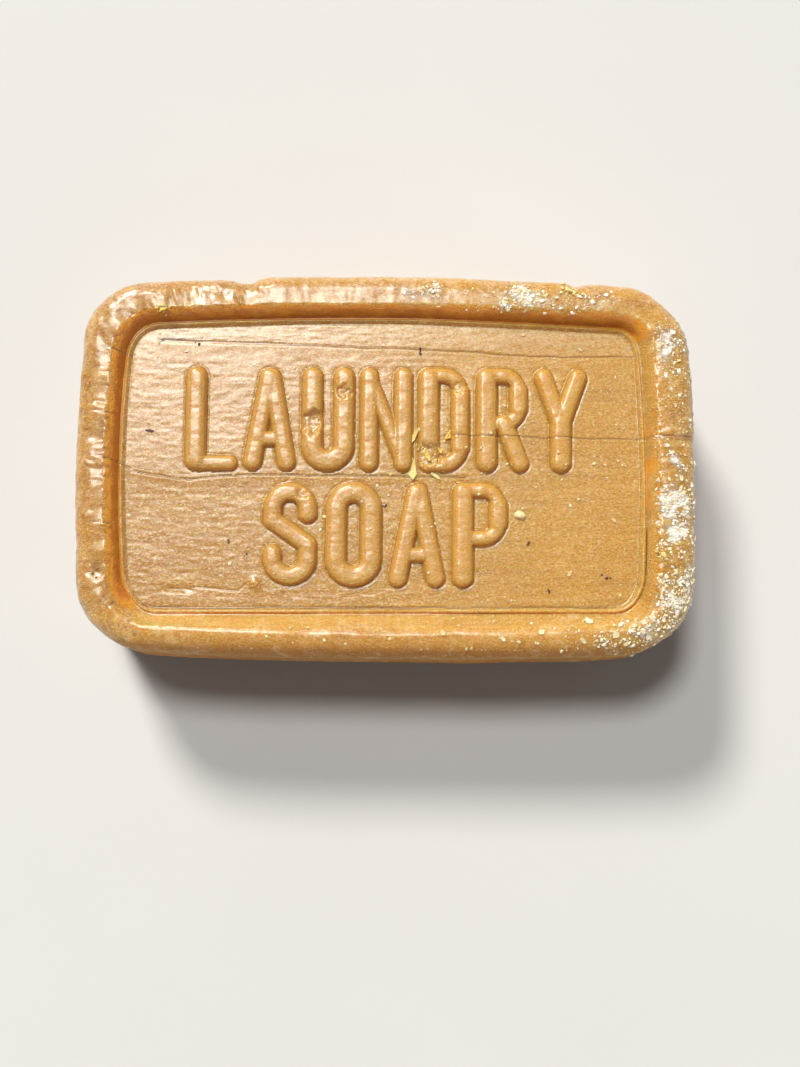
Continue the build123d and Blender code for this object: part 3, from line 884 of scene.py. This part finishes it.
def panel_weight(x, y):
    clumps = 0.5 + 0.9 * noise_at(x, y, 7.0, 43)
    near_letters = patch(x, y, 12, 2, 9, 6) + patch(x, y, 24, -3, 6, 4)
    near_letters += 1.5 * patch(x, y, 21.5, -4.2, 3.2, 1.6)
    return min(1, max(0.04, clumps * (0.15 + 0.5 * ramp(x, -20, 35)) + 0.5 * near_letters))


def add_crusts(look):
    """Dry white crust on the right rim, at the lower right corner and on the top rim."""
    right = [(42.2, 13.8, 0.9), (43.6, 9.2, 0.7), (42.4, 3.0, 0.8), (44.4, -2.0, 0.9), (43.0, -7.4, 1.2),
             (44.6, -8.8, 0.9), (42.6, -11.2, 1.0), (43.8, -17.4, 0.8)]
    corner = [(41.6, -23.2, 0.9), (39.4, -25.8, 1.0), (37.2, -24.2, 0.8), (43.6, -22.0, 0.8),
              (36.0, -26.8, 0.9)]
    for seed, node, kind, chips, area, grains in (
            (11, "crust_right_rim", "grains", right, (900, (40.6, -21.0), (47.0, 24.0), right_rim_weight),
             (0.32, 0.95, 0.6)),
            (12, "crust_lower_corner", "grains", corner,
             (650, (30.0, -28.6), (46.6, -15.5), lower_corner_weight), (0.32, 0.95, 0.6)),
            (13, "crust_top_rim", "patches", [], (420, (2.0, 22.8), (36.0, 28.6), top_rim_weight),
             (0.34, 0.9, 0.55))):
        bits = Bits(seed)
        bits.scatter(*area, *grains, ragged=1.0)
        for x, y, length in chips:
            bits.flake(x, y, length, 0.75 * length, curl=0.1)
        bits.piece(node, kind, look, smooth=False)


def add_crumbs(look):
    """Three yellow crumbs, each with a few smaller ones beside it."""
    for seed, node, x, y, size in ((14, "crumb_top_rim", 27.4, 26.7, 1.2),
                                   (15, "crumb_upper_left", -34.1, 23.4, 1.1),
                                   (16, "crumb_right_rim", 41.6, -13.4, 1.2)):
        bits = Bits(seed)
        bits.lump(x, y, size, detail=3, ragged=0.8)
        for _ in range(9):
            away_x, away_y = bits.rng.uniform(-1.2, 1.2), bits.rng.uniform(-0.7, 0.7)
            bits.lump(x + away_x, y + away_y, bits.rng.uniform(0.35, 0.8), ragged=0.8)
        bits.piece(node, "lumps", look)


def add_flakes(look):
    """Pale flakes along the lower rim, then on the panel."""
    rim = [(34.4, -25.4, 1.5), (29.6, -26.4, 1.3), (8.7, -25.4, 1.1), (17.6, -26.2, 1.2), (23.4, -25.2, 1.2),
           (30.6, -23.4, 1.7), (38.4, -25.0, 1.0)]
    bits = Bits(17)
    for x, y, length in rim:
        bits.flake(x, y, length, length * bits.rng.uniform(0.55, 0.8))
    bits.scatter(150, (-20.0, -28.0), (38.0, -22.6), lower_rim_weight, size=0.30, largest=0.7, flatness=0.5)
    bits.piece("flakes_lower_rim", "chips", look)

    bits = Bits(18)
    for x, y, length in ((27.9, -16.2, 1.1), (34.6, -8.0, 0.9), (29.6, 18.2, 0.9), (-23.4, -15.0, 0.9),
                         (-30.6, 17.6, 0.9)):
        bits.flake(x, y, length, length * bits.rng.uniform(0.5, 0.75), curl=0.08)
    bits.scatter(420, (-39.0, -21.0), (39.0, 21.0), panel_weight, size=0.27, largest=0.7, flatness=0.5)
    bits.piece("flakes_panel", "chips", look)


def add_slivers(look):
    """Yellow shavings caught between the letters, with crumbs round them."""
    bits = Bits(19)
    for x, y, length, width, turn, lift in ((4.3, 4.4, 4.2, 1.3, 4.5, 0.35), (9.6, 4.8, 2.8, 1.8, 0.95, 0.3),
                                            (4.2, -0.6, 3.6, 1.9, 4.9, 0.3), (7.6, -1.5, 2.6, 1.1, 2.9, 0.2),
                                            (6.4, 1.4, 1.8, 1.4, 2.2, 0.3), (8.3, 2.4, 1.4, 1.0, 5.6, 0.4)):
        bits.flake(x, y, length, width, thick=0.2, lift=lift, curl=0.3, turn=turn, taper=0.75, corners=7)
    for _ in range(26):
        x, y = bits.rng.normal(7.0, 2.2), bits.rng.normal(1.6, 2.6)
        bits.lump(x, y, bits.rng.uniform(0.25, 0.6), flatness=0.5)
    bits.piece("slivers_by_lettering", "shavings", look, smooth=False)


def add_nodule(look):
    """A round bead of soap below the lettering, with a few crumbs."""
    x, y = 20.4, -7.4
    bits = Bits(20)
    bits.lump(x, y, 1.7, detail=3, flatness=0.8, ragged=0.25, sink=0.4, facets=0)
    for _ in range(4):
        away_x, away_y = bits.rng.uniform(-1.6, 1.6), bits.rng.uniform(-1.4, 1.4)
        bits.lump(x + away_x, y + away_y, bits.rng.uniform(0.25, 0.4))
    bits.piece("nodule_panel", "bead", look)


def add_grit(look):
    """Dark specks in small clusters."""
    bits = Bits(21)
    for x, y in ((-43.6, -16.9), (-36.0, 5.2), (-29.0, 18.4), (-24.0, -11.5), (-20.6, -13.7), (0.0, -6.3),
                 (5.2, 17.6), (21.4, -11.7), (24.6, -18.9), (33.6, -16.8)):
        for _ in range(int(bits.rng.integers(2, 5))):
            away_x, away_y = bits.rng.normal(0, 0.35), bits.rng.normal(0, 0.35)
            bits.lump(x + away_x, y + away_y, bits.rng.uniform(0.35, 0.75), detail=1, ragged=0.6)
    bits.piece("grit_specks", "grains", look, smooth=False)


def add_bits():
    chalk, yellow, pale, grit = (bit_look(*looks) for looks in BIT_LOOKS)
    for add, look in ((add_crusts, chalk), (add_crumbs, yellow), (add_flakes, pale), (add_slivers, yellow),
                      (add_nodule, pale), (add_grit, grit)):
        add(look)


# ---- material building ----
class Look:
    """A material's node tree, with short calls for the nodes that the looks here are made of."""

    def __init__(self, name):
        self.material = bpy.data.materials.new(name)
        self.material.use_nodes = True
        self.tree = self.material.node_tree
        self.shader = self.tree.nodes["Principled BSDF"]
        coordinates = self.tree.nodes.new("ShaderNodeTexCoord")
        self.place = self.stretch(coordinates.outputs["Object"], (1 / MM,) * 3)

    def wire(self, source, socket):
        if isinstance(source, bpy.types.NodeSocket):
            self.tree.links.new(source, socket)
        else:
            socket.default_value = source

    def stretch(self, vector, scale):
        mapping = self.tree.nodes.new("ShaderNodeMapping")
        self.wire(vector, mapping.inputs["Vector"])
        mapping.inputs["Scale"].default_value = scale
        return mapping.outputs["Vector"]

    def mask(self, name):
        attribute = self.tree.nodes.new("ShaderNodeAttribute")
        attribute.attribute_name = name
        return attribute.outputs["Fac"]

    def noise(self, scale, detail=2.0, roughness=0.5, stretch=(1, 1, 1), distortion=0.0):
        texture = self.tree.nodes.new("ShaderNodeTexNoise")
        self.wire(self.stretch(self.place, stretch), texture.inputs["Vector"])
        texture.inputs["Scale"].default_value = scale
        texture.inputs["Detail"].default_value = detail
        texture.inputs["Roughness"].default_value = roughness
        texture.inputs["Distortion"].default_value = distortion
        return texture.outputs["Fac"]

    def cells(self, scale):
        texture = self.tree.nodes.new("ShaderNodeTexVoronoi")
        self.wire(self.place, texture.inputs["Vector"])
        texture.inputs["Scale"].default_value = scale
        return texture.outputs["Distance"]

    def maths(self, kind, a, b=0.0):
        step = self.tree.nodes.new("ShaderNodeMath")
        step.operation = kind
        self.wire(a, step.inputs[0])
        self.wire(b, step.inputs[1])
        return step.outputs[0]

    def times(self, a, b):
        return self.maths("MULTIPLY", a, b)

    def plus(self, a, b):
        return self.maths("ADD", a, b)

    def span(self, value, low, high, to_low=0.0, to_high=1.0):
        step = self.tree.nodes.new("ShaderNodeMapRange")
        step.interpolation_type = "SMOOTHSTEP"
        self.wire(value, step.inputs["Value"])
        for name, number in (("From Min", low), ("From Max", high), ("To Min", to_low), ("To Max", to_high)):
            step.inputs[name].default_value = number
        return step.outputs["Result"]

    def blend(self, share, first, second):
        mix = self.tree.nodes.new("ShaderNodeMix")
        mix.data_type = "RGBA"
        self.wire(share, mix.inputs["Factor"])
        self.wire(first, mix.inputs[6])
        self.wire(second, mix.inputs[7])
        return mix.outputs[2]

    def tint(self, colour, *tints):
        """The colour drawn towards each shade in turn, by its share times its strength."""
        for shade, share, strength in tints:
            colour = self.blend(self.times(share, strength), colour, shade)
        return colour

    def along(self, axis):
        split = self.tree.nodes.new("ShaderNodeSeparateXYZ")
        self.wire(self.place, split.inputs[0])
        return split.outputs[axis]

    def finish(self, colour, roughness, relief):
        """Relief is a height in millimetres."""
        self.wire(colour, self.shader.inputs["Base Color"])
        self.wire(roughness, self.shader.inputs["Roughness"])
        bump = self.tree.nodes.new("ShaderNodeBump")
        bump.inputs["Distance"].default_value = MM
        self.wire(relief, bump.inputs["Height"])
        self.wire(bump.outputs["Normal"], self.shader.inputs["Normal"])
        return self.material


def rgb(r, g, b):
    return (r, g, b, 1.0)


# the soap's own colours from one end of the face to the other, painted light on the lower rim, painted shade
# on the sides and darker painted shade along the -Y edge, and drag marks and layers
CARAMEL, GOLDEN = rgb(0.545, 0.285, 0.047), rgb(0.68, 0.37, 0.05)
LOWER_RIM_LIGHT, SIDE_SHADE, LOW_EDGE_SHADE = rgb(0.74, 0.42, 0.075), rgb(0.46, 0.165, 0.008), rgb(0.42, 0.135, 0.004)
SCUFFED_AMBER, DRAGGED, DASH = rgb(0.64, 0.34, 0.10), rgb(0.48, 0.25, 0.08), rgb(0.36, 0.16, 0.03)
DARK_LAYER, PALE_LAYER = rgb(0.42, 0.19, 0.015), rgb(0.76, 0.46, 0.08)
# grain whose pale spots are partly painted glints, blotches and flecks
PALE_GRAIN_AND_GLINT, DARK_GRAIN, MOTTLE = rgb(0.95, 0.79, 0.49), rgb(0.38, 0.13, 0.005), rgb(0.82, 0.52, 0.22)
PALE_BLOTCH, AMBER_BLOTCH = rgb(0.92, 0.70, 0.38), rgb(0.60, 0.26, 0.015)
PALE_FLECK, DARK_FLECK = rgb(0.93, 0.76, 0.42), rgb(0.24, 0.10, 0.05)
# wear, a bloomed strip with painted sheen, painted sheen on the rim, lettering with painted sheen on the tops
# and painted shade on the flanks, cracks with painted shade at the letters' foot, the inner wall's painted
# glow and shade, and chalk
PANEL_BLOOM_AND_SHEEN, TORN, SHEEN = rgb(0.84, 0.66, 0.42), rgb(0.86, 0.58, 0.27), rgb(0.90, 0.74, 0.50)
LETTER_TOP_SHEEN, LETTER_FLANK_SHADE = rgb(0.84, 0.54, 0.18), rgb(0.70, 0.31, 0.01)
CRACKLE, CRACK_AND_FOOT_SHADE = rgb(0.42, 0.15, 0.01), rgb(0.25, 0.08, 0.01)
WALL_GLOW, WALL_SHADE = rgb(0.84, 0.37, 0.01), rgb(0.70, 0.22, 0.0)
CHALK, DUSTY = rgb(0.97, 0.95, 0.90), rgb(0.84, 0.58, 0.28)


def soap_places(look):
    """Where things are on the bar: the masks made with the mesh, and others that come from them."""
    at = SimpleNamespace()
    for name in ("panel", "crust", "groove", "flank", "crack", "torn", "bloom", "letter"):
        setattr(at, name, look.mask(name))
    at.to_right = look.span(look.along("X"), -40, 44)
    # side and low_edge: where painted shade darkens the sides and the -Y edge
    at.side = look.span(look.along("Z"), 24.5, 17.0)
    at.low_edge = look.span(look.along("Y"), -25.6, -28.6)
    at.left_panel = look.times(at.panel, look.span(at.to_right, 0.8, 0.3))
    at.streak = look.noise(1.0, 5, 0.7, stretch=(0.5, 2.2, 1.0), distortion=0.4)
    at.stipple = look.noise(3.4, 3, 0.6, stretch=(0.75, 1.15, 1.0))
    wander = look.maths("SUBTRACT", look.noise(0.7, 4, 0.6, distortion=0.5), 0.5)
    rough_rim = look.maths("MAXIMUM", at.torn, at.bloom)
    at.crackle = look.times(look.span(look.maths("ABSOLUTE", wander), 0.05, 0.0), rough_rim)
    at.chalk = look.span(look.times(at.crust, look.noise(2.2, 8, 0.9)), 0.25, 0.43)
    return at


def soap_body(look, at):
    """Caramel at the left to golden at the right, with painted light on the lower rim, painted shade that
    makes the sides amber and the -Y edge darker, drag marks and layers.
    """
    shade = look.plus(look.times(at.to_right, 0.6), look.times(look.noise(0.07, 3), 0.5))
    colour = look.blend(look.span(shade, 0.15, 0.95), CARAMEL, GOLDEN)
    raised = look.span(look.along("Z"), 22.0, 25.0)
    scuffed = look.times(look.span(look.noise(0.35, 5, 0.65, stretch=(1, 1, 0.5)), 0.5, 0.66), 0.45)
    layers = look.noise(1.0, 4, 0.6, stretch=(0.04, 0.75, 0.3))
    return look.tint(
        colour,
        # painted light: the lower rim paler, as lit
        (LOWER_RIM_LIGHT, look.span(look.along("Y"), -21.5, -23.5), raised),
        # painted shade: the sides drawn towards dark amber, with paler scuffed spots
        (look.blend(scuffed, SIDE_SHADE, SCUFFED_AMBER), at.side, 0.85),
        # painted shade: the -Y edge darker still
        (LOW_EDGE_SHADE, at.low_edge, 0.75),
        (DRAGGED, look.span(at.streak, 0.55, 0.7), look.times(at.left_panel, 0.5)),
        (DARK_LAYER, look.span(layers, 0.5, 0.72), 0.4),
        (PALE_LAYER, look.span(layers, 0.45, 0.3), 0.4))


def soap_grain(look, at, colour):
    """Fine stipple whose pale spots are pale grain and painted glints, weaker off the panel and on its right,
    then dashes, mottling, blotches and flecks.
    """
    right_panel = look.times(at.panel, look.span(at.to_right, 0.45, 0.8))
    pale_share = look.span(at.side, 0.0, 1.0, 0.70, 0.25)
    for held_back, amount in ((at.flank, 0.4), (at.letter, 0.25), (right_panel, 0.28)):
        pale_share = look.maths("SUBTRACT", pale_share, look.times(held_back, amount))
    pale_share = look.maths("MAXIMUM", pale_share, 0.0)
    for place, at_none, at_all in ((at.low_edge, 1.0, 0.35), (at.panel, 0.62, 1.0)):
        pale_share = look.times(pale_share, look.span(place, 0.0, 1.0, at_none, at_all))
    dashes = look.noise(1.0, 3, 0.6, stretch=(1.0, 3.4, 2.0))
    off_panel = look.times(look.maths("SUBTRACT", 1.0, at.panel), 0.45)
    blotches = look.noise(0.42, 5, 0.7)
    flecks = look.times(look.span(look.cells(0.85), 0.16, 0.08), look.span(look.noise(0.25, 2), 0.4, 0.6))
    return look.tint(
        colour,
        # painted glints: pale spots on the grain's raised points
        (PALE_GRAIN_AND_GLINT, look.span(at.stipple, 0.51, 0.66), pale_share),
        (DARK_GRAIN, look.span(at.stipple, 0.49, 0.34), 0.4),
        (DASH, look.span(dashes, 0.53, 0.66), look.times(at.left_panel, 0.55)),
        (MOTTLE, look.span(look.noise(0.9, 4, 0.65), 0.5, 0.75), 0.25),
        (PALE_BLOTCH, look.span(blotches, 0.52, 0.68), off_panel),
        (AMBER_BLOTCH, look.span(blotches, 0.48, 0.32), off_panel),
        (PALE_FLECK, flecks, 0.8),
        (DARK_FLECK, look.span(look.cells(0.42), 0.07, 0.03), 0.55))


def soap_wear_and_painted_light(look, at, colour):
    """Paler bloomed strip with painted sheen at the panel's upper edge, torn skin, painted sheen on the rim,
    crackle, lettering with painted sheen on the tops and painted shade on the flanks, the inner wall's
    painted glow and shade, chalk, and cracks with painted shade at the letters' foot.
    """
    # the panel's upper strip paler: bloomed, and painted sheen; then painted sheen on the rim
    bloom = look.times(at.panel, look.span(look.along("Y"), 15.5, 19.5))
    bloom = look.times(bloom, look.span(look.noise(1.6, 5, 0.7), 0.35, 0.7))
    sheen = look.times(at.bloom, look.span(look.noise(1.7, 5, 0.7), 0.40, 0.62))
    # painted sheen on the rim and the letter tops, painted shade on the letter flanks
    colour = look.tint(colour, (PANEL_BLOOM_AND_SHEEN, bloom, 0.5), (TORN, at.torn, 0.4), (SHEEN, sheen, 0.42),
                       (CRACKLE, at.crackle, 0.6), (LETTER_TOP_SHEEN, at.letter, 0.3),
                       (LETTER_FLANK_SHADE, at.flank, 0.65))
    # painted glow on the inner wall's upper part, painted shade towards its foot
    groove = look.times(at.groove, look.span(look.noise(0.5, 4, 0.6), 0.3, 0.6, 0.75, 1.0))
    colour = look.blend(look.span(groove, 0.05, 0.6), colour, WALL_GLOW)
    colour = look.blend(look.span(groove, 0.65, 1.0), colour, WALL_SHADE)
    chalky = look.blend(look.span(look.noise(2.4, 4, 0.7), 0.52, 0.68), CHALK, DUSTY)
    return look.tint(colour, (chalky, at.chalk, 0.95), (CRACK_AND_FOOT_SHADE, at.crack, 0.85))


def soap_roughness(look, at):
    roughness = look.span(look.noise(0.6, 4, 0.6), 0.3, 0.75, 0.36, 0.52)
    roughness = look.plus(roughness, look.times(at.chalk, 0.4))
    roughness = look.plus(roughness, look.times(look.maths("MAXIMUM", at.side, at.low_edge), 0.3))
    return look.maths("MINIMUM", roughness, 1.0)


def soap_relief(look, at):
    """Grain, drag marks and crumbly spots, with the crackle cut in."""
    grain = look.times(look.times(at.stipple, 0.8), look.span(at.chalk, 0.0, 1.0, 1.0, 0.3))
    drag = look.times(look.times(at.streak, at.left_panel), 0.14)
    rough_spots = look.plus(look.times(at.crust, 0.10), look.times(at.torn, 0.2))
    crumbly = look.times(look.noise(1.6, 6, 0.8), rough_spots)
    relief = look.plus(grain, look.plus(drag, crumbly))
    return look.maths("SUBTRACT", relief, look.times(at.crackle, 0.12))


def soap_look():
    """Waxy, slightly translucent soap. The chalk is opaque, and the chalk and the sides have no coat."""
    look = Look("caramel_soap")
    at = soap_places(look)
    colour = soap_wear_and_painted_light(look, at, soap_grain(look, at, soap_body(look, at)))
    coat = look.times(look.span(at.chalk, 0.0, 1.0, 1.0, 0.1), look.span(at.side, 0.0, 1.0, 1.0, 0.1))
    coat = look.times(coat, look.span(look.along("Y"), -25.4, -27.4, 1.0, 0.1))
    shader = look.shader.inputs
    shader["IOR"].default_value = 1.5
    look.wire(coat, shader["Coat Weight"])
    shader["Coat Roughness"].default_value = 0.28
    look.wire(look.span(at.chalk, 0.0, 1.0, 0.85, 0.1), shader["Subsurface Weight"])
    shader["Subsurface Radius"].default_value = (1.0, 0.40, 0.09)
    shader["Subsurface Scale"].default_value = 3.2 * MM
    return look.finish(colour, soap_roughness(look, at), soap_relief(look, at))


# name, two colours that the bits range between, roughness, subsurface share, relief
BIT_LOOKS = [("chalky_crust", (0.96, 0.93, 0.85), (0.84, 0.66, 0.38), 0.6, 0.3, 0.06),
             ("yellow_soap", (0.92, 0.76, 0.36), (0.84, 0.54, 0.13), 0.4, 0.5, 0.05),
             ("pale_flake", (0.92, 0.78, 0.50), (0.80, 0.56, 0.26), 0.55, 0.4, 0.06),
             ("dark_grit", (0.05, 0.035, 0.03), (0.12, 0.06, 0.06), 0.6, 0.0, 0.08)]


def bit_look(name, first, second, roughness, inner_glow, relief):
    """Each bit has its own tone, with fine mottling and a rough surface."""
    look = Look(name)
    tone = look.plus(look.times(look.mask("tone"), 0.7), look.times(look.noise(3.0, 4), 0.5))
    colour = look.blend(look.span(tone, 0.2, 0.9), rgb(*first), rgb(*second))
    darker = rgb(*(0.7 * channel for channel in second))
    colour = look.tint(colour, (darker, look.span(look.noise(6.0, 3), 0.5, 0.8), 0.4))
    spread = look.span(look.noise(4.0, 3), 0.3, 0.7, roughness - 0.1, roughness + 0.1)
    if inner_glow:
        look.shader.inputs["Subsurface Weight"].default_value = inner_glow
        look.shader.inputs["Subsurface Radius"].default_value = (1.0, 0.6, 0.25)
        look.shader.inputs["Subsurface Scale"].default_value = 0.8 * MM
    return look.finish(colour, spread, look.times(look.noise(5.0, 5, 0.7), relief))


# ---- camera, light and floor, in metres ----
CAMERA_PLACE = (2.45 * MM, -35.6 * MM, 265.9 * MM)
CAMERA_TILT, CAMERA_TWIST = math.radians(6.0), 0.008
LENS = 72
FLOOR_RADIUS, SWEEP_REACH, SWEEP_SLOPE = 0.5, 7.5, 0.42
FLOOR_TONES = rgb(0.58, 0.59, 0.60), rgb(0.61, 0.62, 0.63)


def camera():
    """Nearly overhead, from the reader's side, as one holds a phone over the bar."""
    data = bpy.data.cameras.new("camera")
    data.sensor_fit = "HORIZONTAL"
    data.sensor_width = 36
    data.lens = LENS
    data.clip_start = 0.01
    data.clip_end = 20
    obj = place("camera", data)
    obj.location = CAMERA_PLACE
    obj.rotation_euler = (CAMERA_TILT, 0, CAMERA_TWIST)
    bpy.context.scene.camera = obj


def soft_sun(name, towards, angle, strength, tint):
    """A large softbox far away, so the floor is lit evenly."""
    data = bpy.data.lights.new(name, "SUN")
    data.angle = math.radians(angle)
    data.energy = strength
    data.color = tint
    obj = place(name, data)
    obj.location = towards
    obj.rotation_euler = Vector(towards).to_track_quat("Z", "Y").to_euler()


def studio():
    soft_sun("window", (-0.19, 0.38, 0.42), 12, 3.2, (1.0, 0.95, 0.86))
    soft_sun("skylight", (-0.12, 0.27, 0.83), 12, 1.8, (1.0, 0.96, 0.90))
    soft_sun("fill", (0.55, -0.40, 0.40), 15, 0.15, (1.0, 0.98, 0.95))
    world = bpy.data.worlds.new("studio")
    world.use_nodes = True
    world.node_tree.nodes["Background"].inputs["Color"].default_value = rgb(0.86, 0.87, 0.88)
    world.node_tree.nodes["Background"].inputs["Strength"].default_value = 0.05
    bpy.context.scene.world = world
    bpy.context.scene.view_settings.view_transform = "Standard"


def sweep():
    """A flat round floor that curves up beyond its edge and becomes the backdrop, as a shallow bowl."""
    beyond = SWEEP_REACH * np.linspace(0, 1, 25)[1:] ** 1.6
    radii = np.concatenate([[FLOOR_RADIUS / 2, FLOOR_RADIUS], FLOOR_RADIUS + beyond]) / MM
    rises = np.concatenate([[0, 0], SWEEP_SLOPE * (np.sqrt(beyond ** 2 + 1) - 1)]) / MM
    around = 96
    turn = np.arange(around) / around * 2 * math.pi
    rings = [np.column_stack([radius * np.cos(turn), radius * np.sin(turn), np.full(around, rise)])
             for radius, rise in zip(radii, rises)]
    points = np.concatenate(rings + [[[0, 0, 0]]])
    index = np.arange(len(radii) * around).reshape(len(radii), around)
    quads = np.concatenate([band_faces(inner, outer) for inner, outer in zip(index[:-1], index[1:])])
    middle = np.column_stack([index[0], np.roll(index[0], -1), np.full(around, len(points) - 1)])
    floor = make_mesh("floor", points, quads, middle)
    look = Look("pale_floor")
    tone = look.blend(look.noise(0.02, 3), *FLOOR_TONES)
    floor.data.materials.append(look.finish(tone, 0.7, look.times(look.noise(2.0, 3), 0.01)))


camera()
studio()
sweep()
bar = worn_bar()
bar.data.materials.append(soap_look())
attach(bar, "root")
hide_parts("soap_bar")

spheres = {detail: sphere(detail) for detail in (1, 2, 3)}
bar_tree = BVHTree.FromObject(bar, bpy.context.evaluated_depsgraph_get())
add_bits()
